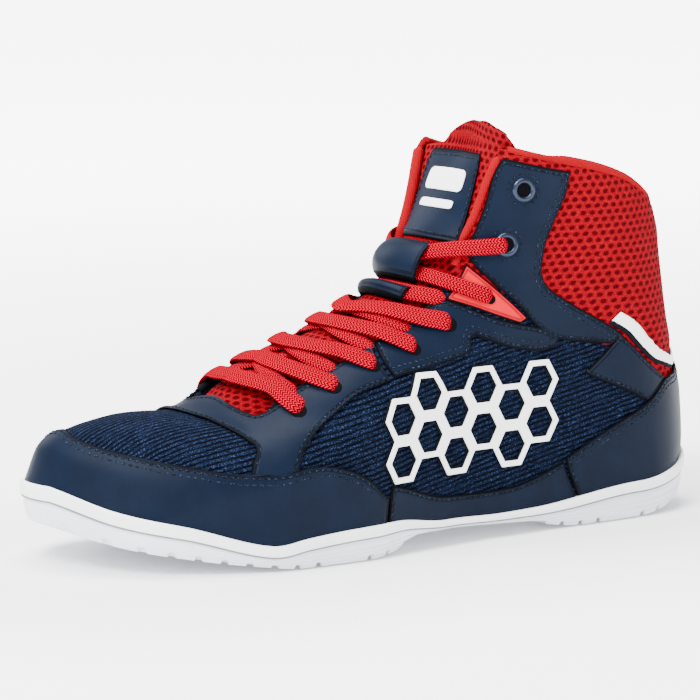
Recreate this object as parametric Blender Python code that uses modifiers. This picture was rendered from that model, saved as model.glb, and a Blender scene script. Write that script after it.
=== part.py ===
"""Wrestling shoe for the left foot, empty and standing on its sole.

Metres, +Z up. The toe points along +X and the outer side of the foot lies to +Y.
The origin is on the floor under the heel, in the middle of the heel's flat spot.

Every form is worked out on one surface, the outside of the upper. A place on it is
(rise, around): rise runs from 0 at the sole to 1 at the collar, and around runs from
0 at the toe or the front of the ankle to 1 at the back of the heel, with plus for
the outer side and minus for the inner side.
"""
import math
from functools import lru_cache

import bmesh
import bpy
from mathutils import Matrix, Vector

MM = 0.001

# Driving sizes of the last
SHOE_LENGTH = 284 * MM
BALL_WIDTH = 96 * MM
ANKLE_WIDTH = 67 * MM
UPPER_HEIGHT = 143.5 * MM
HEEL_TO_ORIGIN = 48 * MM
HEEL_INSET = 14.5 * MM

# Driving sizes of the sole
SOLE_HEIGHT = 14.7 * MM
TOE_SPRING = 17 * MM
BAND_HEIGHT = 4.4 * MM
SOLE_LIP = 2.4 * MM
BAND_BULGE = 0.5 * MM
OUTSOLE_STEP = 0.8 * MM
OUTSOLE_TUCK = 2.6 * MM
LUG_DEPTH = 1.6 * MM
LUG_PITCH = 9 * MM
LUG_GROOVE = 3 * MM
LUG_DRAFT = 0.6 * MM
LUG_ZIGZAG = 2.5 * MM
FLAT_PAD = 20 * MM

# Walls and clearances
WALL = 2.2 * MM
COLLAR_PADDING = 6 * MM
TONGUE_THICKNESS = 4.5 * MM
INSOLE_THICKNESS = 3.5 * MM
PANEL_THICKNESS = 1.0 * MM
PANEL_GAP = 0.9 * MM
TAPE_THICKNESS = 0.8 * MM
SEAT_GAP = 0.3 * MM
INSOLE_GAP = 1.6 * MM
TONGUE_GAP = 1.6 * MM
TONGUE_CROWN = 4.6 * MM
LACE_SEAT = 0.7 * MM
SOLE_GAP = 0.7 * MM

# Laces, loops, eyelets and the side lattice
LACE_WIDTH = 7.6 * MM
LACE_THICKNESS = 1.2 * MM
LACE_LIFT = 1.6 * MM
LACE_JOINT = 0.6 * MM
LACE_SLACK = 2.0
LOOP_THICKNESS = 1.2 * MM
UPPER_LOOP_ARCH = 6.2 * MM
LOWER_LOOP_ARCH = 3.4 * MM
EYELET_RADIUS = 4.4 * MM
EYELET_WIRE = 0.7 * MM
EYELET_BORE = 2.6 * MM
CELL_RADIUS = 9.2 * MM
CELL_STRUT = 4.2 * MM

# Share of length, then the half widths of the sole's edge as shares of the ball width
PLAN = [
    (0.00, 0.281, 0.260),
    (0.08, 0.323, 0.312),
    (0.18, 0.354, 0.333),
    (0.30, 0.359, 0.307),
    (0.42, 0.375, 0.281),
    (0.54, 0.427, 0.323),
    (0.64, 0.479, 0.417),
    (0.73, 0.474, 0.484),
    (0.82, 0.406, 0.500),
    (0.90, 0.302, 0.479),
    (1.00, 0.115, 0.437),
]

# Share of length, the ground clearance as a share of the toe spring, the thickness
# of the sole as a share of its height and the band's height as a share of its own
SOLE = [
    (0.00, 0.47, 0.99, 1.15),
    (0.06, 0.18, 1.00, 1.00),
    (0.14, 0.00, 1.00, 0.90),
    (0.24, 0.00, 0.83, 0.85),
    (0.33, 0.20, 0.43, 0.65),
    (0.41, 0.30, 0.30, 0.55),
    (0.48, 0.36, 0.28, 0.55),
    (0.535, 0.32, 0.45, 0.70),
    (0.575, 0.08, 0.80, 0.85),
    (0.61, 0.00, 0.89, 0.95),
    (0.72, 0.00, 0.77, 0.95),
    (0.77, 0.09, 0.56, 0.95),
    (0.88, 0.38, 0.82, 1.05),
    (0.95, 0.64, 0.87, 1.15),
    (1.00, 1.00, 0.95, 1.25),
]

# Share of length, height of the toe box and instep above the sole
# as a share of the upper's height
CROWN = [
    (0.412, 1.000),
    (0.425, 0.868),
    (0.450, 0.723),
    (0.490, 0.603),
    (0.570, 0.492),
    (0.650, 0.424),
    (0.740, 0.353),
    (0.790, 0.304),
    (0.840, 0.276),
    (0.900, 0.234),
    (0.955, 0.178),
    (0.985, 0.107),
    (1.000, 0.000),
]

# Share of length, height of the collar above the sole as a share of the upper's height
COLLAR = [
    (0.05, 0.674),
    (0.10, 0.774),
    (0.20, 0.869),
    (0.412, 1.000),
]

# Height as a share of the upper's height, how far the heel's back leans in
# as a share of the heel inset
HEEL_BACK = [
    (0.10, 0.14),
    (0.21, 0.00),
    (0.335, 0.07),
    (0.453, 0.38),
    (0.613, 0.76),
    (0.753, 0.97),
    (0.871, 1.00),
]

# Rise, length of the rounded front and of the rounded back as shares of the ball
# width, half width of the ankle as a share of the ankle's width, and how far the
# section has turned from the sole's outline into the ankle's
SECTION = [
    (0.00, 0.312, 0.333, 0.492, 0.00),
    (0.08, 0.480, 0.343, 0.490, 0.01),
    (0.16, 0.646, 0.353, 0.487, 0.02),
    (0.30, 0.625, 0.375, 0.484, 0.10),
    (0.50, 0.480, 0.420, 0.478, 0.45),
    (0.75, 0.390, 0.460, 0.492, 0.90),
    (1.00, 0.333, 0.500, 0.507, 1.00),
]

# Rise, half width of the throat's opening as a place around
THROAT = [
    (0.285, 0.140),
    (0.370, 0.155),
    (0.500, 0.175),
    (0.600, 0.184),
    (0.725, 0.179),
    (0.800, 0.192),
    (0.900, 0.208),
    (1.000, 0.236),
]

# Lace places on the outer side: rise and around of each punched hole, and the rise
# at which the lace passes over the middle of the throat
LACE_HOLES = [
    (0.278, 0.198, 0.300),
    (0.329, 0.205, 0.343),
    (0.381, 0.220, 0.390),
    (0.437, 0.253, 0.444),
    (0.510, 0.270, 0.494),
]
INSERT_HOLE = (0.586, 0.305)
RING_HOLES = [
    (0.738, 0.295),
    (0.899, 0.312),
]

EYELET_MARGIN = 0.045

# Under each bar a lace runs up from the throat's middle to the next bar: the place
# around where it starts, and the share of the next bar's half where it joins it
TAIL_START = 0.110
TAIL_LANDING = 0.55

# The lace that lies folded in the lower loop: half length as a place around, and
# its width as a share of the lace's
FOLDED_HALF = 0.160
FOLDED_WIDTH = 0.55

# Rises between which each piece lies on the tongue, and its half width around
UPPER_LOOP = (0.589, 0.706, 0.098)
LOWER_LOOP = (0.530, 0.573, 0.110)
TONGUE_PATCH = (0.718, 0.972, 0.168)
LOOP_FULLNESS = 0.5

# Panels: each row has the rise and around of one edge, then of the other edge
TOE_RAND = [
    (0.010, 0.000, 0.128, 0.000),
    (0.010, 0.060, 0.118, 0.060),
    (0.010, 0.120, 0.116, 0.120),
    (0.010, 0.182, 0.116, 0.182),
    (0.010, 0.238, 0.128, 0.238),
    (0.010, 0.285, 0.150, 0.285),
    (0.010, 0.330, 0.155, 0.330),
    (0.010, 0.372, 0.138, 0.375),
    (0.010, 0.408, 0.110, 0.408),
    (0.010, 0.438, 0.055, 0.436),
]
VAMP_SADDLE = [
    (0.290, 0.000, 0.253, 0.000),
    (0.290, 0.075, 0.247, 0.105),
    (0.287, 0.140, 0.228, 0.188),
    (0.300, 0.152, 0.205, 0.232),
    (0.315, 0.153, 0.172, 0.258),
    (0.335, 0.154, 0.172, 0.318),
    (0.350, 0.155, 0.212, 0.292),
    (0.370, 0.157, 0.258, 0.262),
    (0.390, 0.159, 0.300, 0.258),
    (0.408, 0.161, 0.343, 0.277),
]
EYESTAY = [
    (0.422, 0.163, 0.357, 0.287),
    (0.455, 0.168, 0.393, 0.312),
    (0.495, 0.176, 0.430, 0.343),
    (0.535, 0.185, 0.470, 0.322),
    (0.558, 0.205, 0.478, 0.326),
    (0.548, 0.270, 0.472, 0.350),
    (0.530, 0.335, 0.462, 0.390),
    (0.512, 0.390, 0.452, 0.430),
    (0.494, 0.440, 0.446, 0.458),
]
INSERT = [
    (0.655, 0.212, 0.574, 0.222),
    (0.607, 0.285, 0.561, 0.278),
    (0.565, 0.352, 0.544, 0.340),
    (0.532, 0.405, 0.528, 0.396),
]
COLLAR_PANEL = [
    (0.975, 0.244, 0.975, 0.442),
    (0.920, 0.225, 0.920, 0.438),
    (0.840, 0.218, 0.838, 0.415),
    (0.770, 0.209, 0.750, 0.396),
    (0.705, 0.200, 0.690, 0.400),
    (0.672, 0.226, 0.655, 0.412),
    (0.622, 0.300, 0.625, 0.438),
    (0.562, 0.388, 0.600, 0.475),
    (0.517, 0.440, 0.570, 0.520),
    (0.480, 0.500, 0.545, 0.560),
    (0.466, 0.570, 0.515, 0.606),
    (0.457, 0.622, 0.490, 0.640),
]
SIDE_BAND = [
    (0.010, 0.448, 0.086, 0.446),
    (0.010, 0.515, 0.060, 0.515),
    (0.010, 0.580, 0.068, 0.580),
    (0.010, 0.660, 0.108, 0.632),
]
STRAP_PANEL = [
    (0.349, 0.612, 0.452, 0.655),
    (0.318, 0.664, 0.415, 0.706),
    (0.300, 0.712, 0.376, 0.758),
]
HEEL_COUNTER = [
    (0.010, 0.676, 0.124, 0.648),
    (0.010, 0.700, 0.180, 0.682),
    (0.010, 0.725, 0.228, 0.715),
    (0.010, 0.752, 0.280, 0.746),
    (0.010, 0.790, 0.350, 0.788),
    (0.010, 0.860, 0.378, 0.860),
    (0.010, 0.930, 0.385, 0.930),
    (0.010, 1.000, 0.388, 1.000),
]
COLLAR_TAPE = [
    (0.533, 0.606, 0.562, 0.622),
    (0.503, 0.652, 0.535, 0.668),
    (0.455, 0.700, 0.490, 0.714),
    (0.412, 0.760, 0.448, 0.772),
    (0.403, 0.850, 0.440, 0.850),
    (0.408, 0.930, 0.444, 0.930),
    (0.410, 1.000, 0.446, 1.000),
]

# Side lattice: columns of cells from front to back, each with the half rows that its
# lowest cell stands above the lattice's base, and its number of cells
LATTICE_COLUMNS = [
    (0, 2),
    (1, 2),
    (0, 2),
    (1, 2),
    (0, 2),
    (1, 2),
]
LATTICE_FRONT = 0.560
LATTICE_BASE = 0.245

# Tread: share of length at the middle of the forefoot's flat spot, the shares
# between which each tread runs, and the plain rows of the waist between them
FOREFOOT_PAD = 0.66
HEEL_TREAD = (0.0, 0.30)
FOREFOOT_TREAD = (0.555, 1.0)
WAIST_ROWS = (0.34, 0.39, 0.44, 0.49, 0.53)
HEEL_ROWS = (0.0, 0.0015, 0.006)
TOE_ROWS = (0.994, 0.9985, 1.0)
CLOSEST_ROWS = 0.0012
ZIGZAG_FADE = 0.083

STEP = 0.002
WELD = 0.01 * MM
SHARP_ANGLE = math.radians(35)


class Curve:
    """A smooth line through the rows of a table, with no overshoot between them."""

    def __init__(self, table, column=1):
        self.at = [row[0] for row in table]
        self.to = [row[column] for row in table]
        gaps = [b - a for a, b in zip(self.at, self.at[1:])]
        slopes = [(b - a) / gap for a, b, gap in zip(self.to, self.to[1:], gaps)]
        self.slope = [slopes[0]]
        for i in range(1, len(slopes)):
            before, after = slopes[i - 1], slopes[i]
            if before * after <= 0:
                self.slope.append(0.0)
                continue
            near, far = gaps[i - 1], gaps[i]
            weights = (near + 2 * far) / before + (far + 2 * near) / after
            self.slope.append(3 * (near + far) / weights)
        self.slope.append(slopes[-1])

    def __call__(self, x):
        x = min(max(x, self.at[0]), self.at[-1])
        i = 0
        while i < len(self.at) - 2 and x > self.at[i + 1]:
            i += 1
        gap = self.at[i + 1] - self.at[i]
        t = (x - self.at[i]) / gap
        return (
            (1 + 2 * t) * (1 - t) ** 2 * self.to[i]
            + t * (1 - t) ** 2 * gap * self.slope[i]
            + t * t * (3 - 2 * t) * self.to[i + 1]
            + t * t * (t - 1) * gap * self.slope[i + 1]
        )


outer_half = Curve(PLAN, 1)
inner_half = Curve(PLAN, 2)
clearance_share = Curve(SOLE, 1)
thickness_share = Curve(SOLE, 2)
band_share = Curve(SOLE, 3)
crown_share = Curve(CROWN)
collar_share = Curve(COLLAR)
heel_share = Curve(HEEL_BACK)
front_round = Curve(SECTION, 1)
back_round = Curve(SECTION, 2)
ankle_half = Curve(SECTION, 3)
ankle_blend = Curve(SECTION, 4)
throat_half = Curve(THROAT)

COLLAR_FRONT = COLLAR[-1][0]
COLLAR_SLOPE = (COLLAR[-1][1] - COLLAR[-2][1]) / (COLLAR[-1][0] - COLLAR[-2][0])


# Heights and ends of the form

def length_share(x):
    return (x + HEEL_TO_ORIGIN) / SHOE_LENGTH


def ground_clearance(share):
    return clearance_share(share) * TOE_SPRING


def feather_height(share):
    """Height of the edge where the upper meets the sole."""
    return ground_clearance(share) + thickness_share(share) * SOLE_HEIGHT


def split_height(share):
    """Height of the step between the midsole's band and the outsole."""
    return feather_height(share) - band_share(share) * BAND_HEIGHT


def collar_rise(share):
    beyond = max(share - COLLAR_FRONT, 0)
    return (collar_share(share) + COLLAR_SLOPE * beyond) * UPPER_HEIGHT


def surface_height(share, rise):
    return feather_height(share) + rise * collar_rise(share)


@lru_cache(maxsize=None)
def front_end(rise):
    """X of the toe, instep or ankle front at one rise."""
    low, high = COLLAR_FRONT, 1.0
    for _ in range(40):
        middle = (low + high) / 2
        if rise * collar_rise(middle) < crown_share(middle) * UPPER_HEIGHT:
            low = middle
        else:
            high = middle
    return low * SHOE_LENGTH - HEEL_TO_ORIGIN


@lru_cache(maxsize=None)
def back_end(rise):
    """X of the back of the heel at one rise."""
    x = -HEEL_TO_ORIGIN
    for _ in range(12):
        height = surface_height(length_share(x), rise)
        x = heel_share(height / UPPER_HEIGHT) * HEEL_INSET - HEEL_TO_ORIGIN
    return x


# The surface

def rounded_end(distance, length):
    t = min(max(distance / length, 0), 1)
    return math.sqrt(1 - (1 - t) ** 2)


def fold_around(around):
    """Around, brought back into -1 to 1 where it runs past the back of the heel."""
    if around > 1:
        return around - 2
    if around < -1:
        return around + 2
    return around


def on_surface(rise, around):
    around = fold_around(around)
    front, back = front_end(rise), back_end(rise)
    x = back + (front - back) * (1 + math.cos(math.pi * around)) / 2
    share = length_share(x)
    turned = ankle_blend(rise)
    ankle = ankle_half(rise) * ANKLE_WIDTH
    outer = outer_half(share) * BALL_WIDTH * (1 - turned) + ankle * turned
    inner = inner_half(share) * BALL_WIDTH * (1 - turned) + ankle * turned
    half = (outer + inner) / 2
    half *= rounded_end(front - x, front_round(rise) * BALL_WIDTH)
    half *= rounded_end(x - back, back_round(rise) * BALL_WIDTH)
    y = (outer - inner) / 2 + math.copysign(half, around)
    return Vector((x, y, surface_height(share, rise)))


def surface_normal(rise, around):
    along = on_surface(rise, around + STEP) - on_surface(rise, around - STEP)
    up = on_surface(rise + STEP, around) - on_surface(rise - STEP, around)
    return along.cross(up).normalized()


def skin(rise, around, out=0.0):
    """A point that stands out from the surface by a distance."""
    point = on_surface(rise, around)
    if out:
        point = point + surface_normal(rise, around) * out
    return point


def sole_edge(around, spread):
    """A point of the sole's outline, spread outwards on the flat."""
    ahead = on_surface(0.0, around + STEP)
    behind = on_surface(0.0, around - STEP)
    outward = Vector((ahead.y - behind.y, behind.x - ahead.x, 0)).normalized()
    return on_surface(0.0, around) + outward * spread


def around_at(share):
    """Place around on the sole's outline at a share of the length."""
    return math.acos(min(max(2 * share - 1, -1), 1)) / math.pi


# Scene helpers

def clear_scene():
    for item in list(bpy.data.objects):
        bpy.data.objects.remove(item, do_unlink=True)


def make_collection(name):
    collection = bpy.data.collections.new(name)
    bpy.context.scene.collection.children.link(collection)
    return collection


def make_material(name, colour, roughness, metallic=0.0):
    material = bpy.data.materials.new(name)
    material.use_nodes = True
    shader = material.node_tree.nodes["Principled BSDF"]
    shader.inputs["Base Color"].default_value = (*colour, 1.0)
    shader.inputs["Roughness"].default_value = roughness
    shader.inputs["Metallic"].default_value = metallic
    return material


def make_object(name, shape, material, collection):
    mesh = bpy.data.meshes.new(name)
    shape.to_mesh(mesh)
    shape.free()
    mesh.materials.append(material)
    mesh.shade_smooth()
    mesh.set_sharp_from_angle(angle=SHARP_ANGLE)
    item = bpy.data.objects.new(name, mesh)
    collection.objects.link(item)
    return item


def unit_grid(columns, rows):
    """A grid from 0 to 1 both ways: columns along X and rows along Y."""
    shape = bmesh.new()
    bmesh.ops.create_grid(shape, x_segments=columns, y_segments=rows, size=0.5)
    bmesh.ops.translate(shape, verts=shape.verts, vec=(0.5, 0.5, 0))
    return shape


def lay_grid(shape, place):
    """Moves each point of a unit grid to place(u, v) and closes its seams."""
    for vertex in shape.verts:
        vertex.co = place(vertex.co.x, vertex.co.y)
    bmesh.ops.remove_doubles(shape, verts=shape.verts, dist=WELD)


def thicken(item, thickness, offset):
    wall = item.modifiers.new("Wall", "SOLIDIFY")
    wall.thickness = thickness
    wall.offset = offset
    wall.use_quality_normals = True
    return wall


def between(table, u):
    """Row of a table at u from 0 to 1, straight between its rows."""
    place = u * (len(table) - 1)
    i = min(int(place), len(table) - 2)
    t = place - i
    return [a + (b - a) * t for a, b in zip(table[i], table[i + 1])]


# Sole

def across(around, side_share, spread):
    """A point between the two edges of the sole: -1 inner, 1 outer."""
    outer = sole_edge(around, spread)
    inner = sole_edge(-around, spread)
    return inner + (outer - inner) * (side_share + 1) / 2


def build_midsole(material, collection):
    """Rounded white band. The section runs over its top, side, underside and side."""
    # side share of the half width, share of the height, share of the bulge
    section = [
        (-0.5, 1.00, 0.0),
        (0.0, 1.00, 0.0),
        (0.5, 1.00, 0.0),
        (1.0, 1.00, 0.0),
        (1.0, 0.80, 0.8),
        (1.0, 0.30, 1.0),
        (1.0, 0.00, 0.2),
        (0.3, 0.00, 0.0),
        (-0.3, 0.00, 0.0),
        (-1.0, 0.00, 0.2),
        (-1.0, 0.30, 1.0),
        (-1.0, 0.80, 0.8),
        (-1.0, 1.00, 0.0),
        (-0.5, 1.00, 0.0),
    ]
    rows = len(section) - 1
    columns = THROAT_COLUMNS + SIDE_COLUMNS
    shape = unit_grid(columns, rows)

    def place(u, v):
        side, height, bulge = section[round(v * rows)]
        around = abs(column_around(round(u * columns), 0.0))
        point = across(around, side, SOLE_LIP + bulge * BAND_BULGE)
        share = length_share(point.x)
        top = feather_height(share) - SOLE_GAP
        bottom = split_height(share) + SOLE_GAP
        point.z = bottom + (top - bottom) * height
        return point

    lay_grid(shape, place)
    bmesh.ops.recalc_face_normals(shape, faces=shape.faces)
    return make_object("midsole", shape, material, collection)


def lug_rows():
    """Rows of the outsole from heel to toe: share of length, 1 on a lug, 0 in a groove."""
    half_pad = FLAT_PAD / 2 / SHOE_LENGTH
    pitch = LUG_PITCH / SHOE_LENGTH
    groove = LUG_GROOVE / SHOE_LENGTH
    draft = LUG_DRAFT / SHOE_LENGTH
    land = pitch - groove
    rows = [(share, 0) for share in WAIST_ROWS]
    rows += [(share, 1) for share in HEEL_ROWS + TOE_ROWS]
    for pad, tread in ((length_share(0.0), HEEL_TREAD), (FOREFOOT_PAD, FOREFOOT_TREAD)):
        lands = [(pad - half_pad, pad + half_pad)]
        start = pad + half_pad + groove
        while start + land / 2 < tread[1]:
            lands.append((start, min(start + land, tread[1])))
            start += pitch
        end = pad - half_pad - groove
        while end - land / 2 > tread[0]:
            lands.append((max(end - land, tread[0]), end))
            end -= pitch
        for start, end in lands:
            rows += [(start, 1), (end, 1)]
            if start > draft:
                rows.append((start - draft, 0))
            if end < 1 - draft:
                rows.append((end + draft, 0))
    kept = []
    for share, lug in sorted(rows):
        if not kept or share - kept[-1][0] >= CLOSEST_ROWS:
            kept.append((share, lug))
    kept[0] = (0.0, 1)
    kept[-1] = (1.0, 1)
    return kept


def build_outsole(material, collection):
    """Plate with cross ribs. The section runs over its flat top, side and treaded sole."""
    # side share of the half width, share of the height, share of the tuck
    section = [
        (-1.00, 1.0, 0.0),
        (1.00, 1.0, 0.0),
        (1.00, 0.5, 0.2),
        (1.00, 0.0, 1.0),
        (0.50, 0.0, 1.0),
        (0.00, 0.0, 1.0),
        (-0.50, 0.0, 1.0),
        (-1.00, 0.0, 1.0),
        (-1.00, 0.5, 0.2),
        (-1.00, 1.0, 0.0),
    ]
    zigzag = {0.50: 1.0, 0.00: -1.0, -0.50: 1.0}
    along = lug_rows()
    columns = len(along) - 1
    rows = len(section) - 1
    shape = unit_grid(columns, rows)

    def place(u, v):
        share, lug = along[round(u * columns)]
        side, height, tuck = section[round(v * rows)]
        fade = min(1, share / ZIGZAG_FADE, (1 - share) / ZIGZAG_FADE)
        if height == 0:
            share += zigzag.get(side, 0) * fade * LUG_ZIGZAG / SHOE_LENGTH
        spread = SOLE_LIP - OUTSOLE_STEP - tuck * OUTSOLE_TUCK
        point = across(around_at(share), side, spread)
        place_share = length_share(point.x)
        bottom = ground_clearance(place_share)
        top = split_height(place_share)
        if not lug:
            bottom += min(LUG_DEPTH, (top - bottom) / 2)
        point.z = bottom + (top - bottom) * height
        return point

    lay_grid(shape, place)
    bmesh.ops.recalc_face_normals(shape, faces=shape.faces)
    return make_object("outsole", shape, material, collection)


def build_insole(material, collection):
    columns = THROAT_COLUMNS + SIDE_COLUMNS
    shape = unit_grid(columns, 2)

    def place(u, v):
        around = abs(column_around(round(u * columns), 0.0))
        point = across(around, 2 * v - 1, -WALL - INSOLE_GAP)
        point.z = feather_height(length_share(point.x))
        return point

    lay_grid(shape, place)
    face_outwards(shape, Vector((0, 0, 1)))
    item = make_object("insole", shape, material, collection)
    thicken(item, INSOLE_THICKNESS, 1)
    return item


def face_outwards(shape, outward):
    """Turns an open sheet so that its first face looks along a direction."""
    shape.normal_update()
    shape.faces.ensure_lookup_table()
    if shape.faces[0].normal.dot(outward) < 0:
        bmesh.ops.reverse_faces(shape, faces=shape.faces)


# Upper

RISE_ROWS = [
    0.000, 0.040, 0.085, 0.130, 0.172, 0.208, 0.234, 0.260, 0.285,
    0.335, 0.390, 0.455, 0.530, 0.610, 0.700, 0.790, 0.880, 0.960, 1.000,
]
THROAT_ROW = 8
THROAT_FRONT = RISE_ROWS[THROAT_ROW]
THROAT_COLUMNS = 3
SIDE_COLUMNS = 16
PADDING_FRONT = (0.37, 0.45)
PADDING_LOW = (0.62, 0.80)
COLLAR_RIM = (0.96, 1.00)
COLLAR_ROLL = 1.4 * MM
RIM_THINNING = 0.45


def ramp(value, low, high):
    t = min(max((value - low) / (high - low), 0), 1)
    return t * t * (3 - 2 * t)


def column_around(column, rise):
    """Around of one column of the upper: a few cross the throat, the rest the side."""
    half = THROAT_COLUMNS + SIDE_COLUMNS
    side = column - half
    steps = half - abs(side)
    edge = throat_half(rise)
    if steps <= THROAT_COLUMNS:
        place = edge * steps / THROAT_COLUMNS
    else:
        place = edge + (1 - edge) * (steps - THROAT_COLUMNS) / SIDE_COLUMNS
    return math.copysign(place, side) if side else 1.0


def build_upper(material, collection):
    columns = 2 * (THROAT_COLUMNS + SIDE_COLUMNS)
    rows = len(RISE_ROWS) - 1
    shape = unit_grid(columns, rows)
    around_layer = shape.verts.layers.float.new("around")
    rise_layer = shape.verts.layers.float.new("rise")
    for vertex in shape.verts:
        rise = RISE_ROWS[round(vertex.co.y * rows)]
        vertex[rise_layer] = rise
        vertex[around_layer] = column_around(round(vertex.co.x * columns), rise)
    open_faces = [face for face in shape.faces if crosses_throat(face, columns, rows)]
    bmesh.ops.delete(shape, geom=open_faces, context="FACES")
    for vertex in shape.verts:
        rise, around = vertex[rise_layer], vertex[around_layer]
        vertex.co = skin(rise, around, -COLLAR_ROLL * ramp(rise, *COLLAR_RIM))
    bmesh.ops.remove_doubles(shape, verts=shape.verts, dist=WELD)
    shape.faces.ensure_lookup_table()
    corner = shape.faces[0].verts[0]
    face_outwards(shape, surface_normal(corner[rise_layer], corner[around_layer]))
    padding = []
    for vertex in shape.verts:
        rise, around = vertex[rise_layer], abs(vertex[around_layer])
        full = ramp(around, *PADDING_FRONT) * ramp(rise, *PADDING_LOW)
        full *= 1 - RIM_THINNING * ramp(rise, *COLLAR_RIM)
        padding.append(full)
    item = make_object("upper", shape, material, collection)
    group = item.vertex_groups.new(name="padding")
    for index, full in enumerate(padding):
        thickness = WALL + (COLLAR_PADDING - WALL) * full
        group.add([index], thickness / COLLAR_PADDING, "REPLACE")
    wall = thicken(item, COLLAR_PADDING, -1)
    wall.vertex_group = "padding"
    return item


def crosses_throat(face, columns, rows):
    """True for a face of the unit grid that lies in the throat's opening."""
    centre = face.calc_center_median()
    from_front = min(centre.x, 1 - centre.x) * columns
    return from_front < THROAT_COLUMNS and centre.y * rows > THROAT_ROW


# Panels on the upper

def mirrored(table):
    """The panel's rows on the inner side, across the middle and on the outer side."""
    inner = [(a, -b, c, -d) for a, b, c, d in reversed(table[1:])]
    return inner + list(table)


def panel_sheet(table, along, wide, out):
    shape = unit_grid(along, wide)

    def place(u, v):
        rise_a, around_a, rise_b, around_b = between(table, u)
        rise = rise_a + (rise_b - rise_a) * v
        around = around_a + (around_b - around_a) * v
        return skin(rise, around, out)

    lay_grid(shape, place)
    rise, around = between(table, 0.5 / along)[:2]
    face_outwards(shape, surface_normal(rise, around))
    return shape


def build_panel(name, table, along, wide, material, collection,
                thickness=PANEL_THICKNESS, out=PANEL_GAP):
    shape = panel_sheet(table, along, wide, out)
    item = make_object(name, shape, material, collection)
    thicken(item, thickness, 1)
    return item


def build_side_pair(name, table, along, wide, material, collection, **sizes):
    inner = [(a, -b, c, -d) for a, b, c, d in table]
    outer_panel = build_panel(f"{name}_lateral", table, along, wide, material, collection, **sizes)
    inner_panel = build_panel(f"{name}_medial", inner, along, wide, material, collection, **sizes)
    return outer_panel, inner_panel


def across_heel(table):
    """The rows of a heel panel, from the outer side round the back to the inner side."""
    inner = [(a, 2 - b, c, 2 - d) for a, b, c, d in reversed(table[:-1])]
    return list(table) + inner


def build_lattice(name, side, material, collection):
    """Six-sided cells in the side view, laid on the surface."""
    shape = bmesh.new()
    half_row = CELL_RADIUS * math.sqrt(3) / 2
    turned = Matrix.Rotation(math.radians(30), 4, "Z")
    for column, (lowest, count) in enumerate(LATTICE_COLUMNS):
        for row in range(count):
            centre = (-1.5 * CELL_RADIUS * column, half_row * (lowest + 2 * row), 0)
            bmesh.ops.create_circle(
                shape, cap_ends=True, segments=6, radius=CELL_RADIUS,
                matrix=Matrix.Translation(centre) @ turned,
            )
    bmesh.ops.remove_doubles(shape, verts=shape.verts, dist=WELD)
    cells = shape.faces[:]
    bmesh.ops.inset_individual(shape, faces=cells, thickness=CELL_STRUT / 2, use_even_offset=True)
    bmesh.ops.delete(shape, geom=cells, context="FACES")
    front = LATTICE_FRONT * SHOE_LENGTH - HEEL_TO_ORIGIN
    for vertex in shape.verts:
        x = front + vertex.co.x
        share = length_share(x)
        height = LATTICE_BASE * UPPER_HEIGHT + vertex.co.y
        rise = (height - feather_height(share)) / collar_rise(share)
        back, toe = back_end(rise), front_end(rise)
        around = math.acos(2 * (x - back) / (toe - back) - 1) / math.pi
        vertex.co = skin(rise, side * around, PANEL_GAP + SEAT_GAP)
    face_outwards(shape, Vector((0, side, 0)))
    item = make_object(name, shape, material, collection)
    thicken(item, TAPE_THICKNESS, 1)
    return item


# Tongue

TONGUE_LOW = 0.250
TONGUE_TOP = 1.035
TONGUE_SIDE_TOP = 1.005
TONGUE_MARGIN = 0.062

# Rise, how far the tongue's middle stands before its sides as a share of its crown:
# it rides high under the laces and leans back flat at the ankle
TONGUE_LEAN = [
    (0.285, 0.00), (0.350, 1.00), (0.520, 1.00), (0.580, 0.78), (0.650, 0.42),
    (0.720, 0.10), (0.800, -0.90), (0.900, -1.80), (1.000, -2.80), (1.100, -3.60),
]
tongue_lean = Curve(TONGUE_LEAN)


def tongue_half(rise):
    return throat_half(rise) + TONGUE_MARGIN


def tongue_out(rise, around):
    """How far the tongue's face stands out: under the upper, and crowned in the throat."""
    share = min(abs(around) / throat_half(rise), 1)
    crown = TONGUE_CROWN * (1 - share ** 2) * tongue_lean(rise)
    return crown - WALL - TONGUE_GAP


def build_tongue(material, collection):
    shape = unit_grid(8, 16)

    def place(u, v):
        side = 2 * u - 1
        top = TONGUE_TOP + (TONGUE_SIDE_TOP - TONGUE_TOP) * side ** 2
        rise = TONGUE_LOW + (top - TONGUE_LOW) * v
        around = side * tongue_half(rise)
        return skin(rise, around, tongue_out(rise, around))

    lay_grid(shape, place)
    face_outwards(shape, Vector((1, 0, 1)))
    item = make_object("tongue", shape, material, collection)
    thicken(item, TONGUE_THICKNESS, -1)
    return item


def build_on_tongue(name, area, arch, thickness, grid, material, collection):
    """A patch or a strap loop that follows the tongue between two rises."""
    low, high, half = area
    shape = unit_grid(*grid)

    def place(u, v):
        rise = low + (high - low) * v
        around = (2 * u - 1) * half
        out = tongue_out(rise, around) + PANEL_GAP
        out += arch * math.sin(math.pi * v) ** LOOP_FULLNESS
        return skin(rise, around, out)

    lay_grid(shape, place)
    face_outwards(shape, Vector((1, 0, 0)))
    item = make_object(name, shape, material, collection)
    thicken(item, thickness, 1)
    return item


# Laces

def lift_share(t):
    """0 at a lace's ends, where it lies on the panels, and 1 at its middle."""
    return (4 * t * (1 - t)) ** 2


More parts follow.
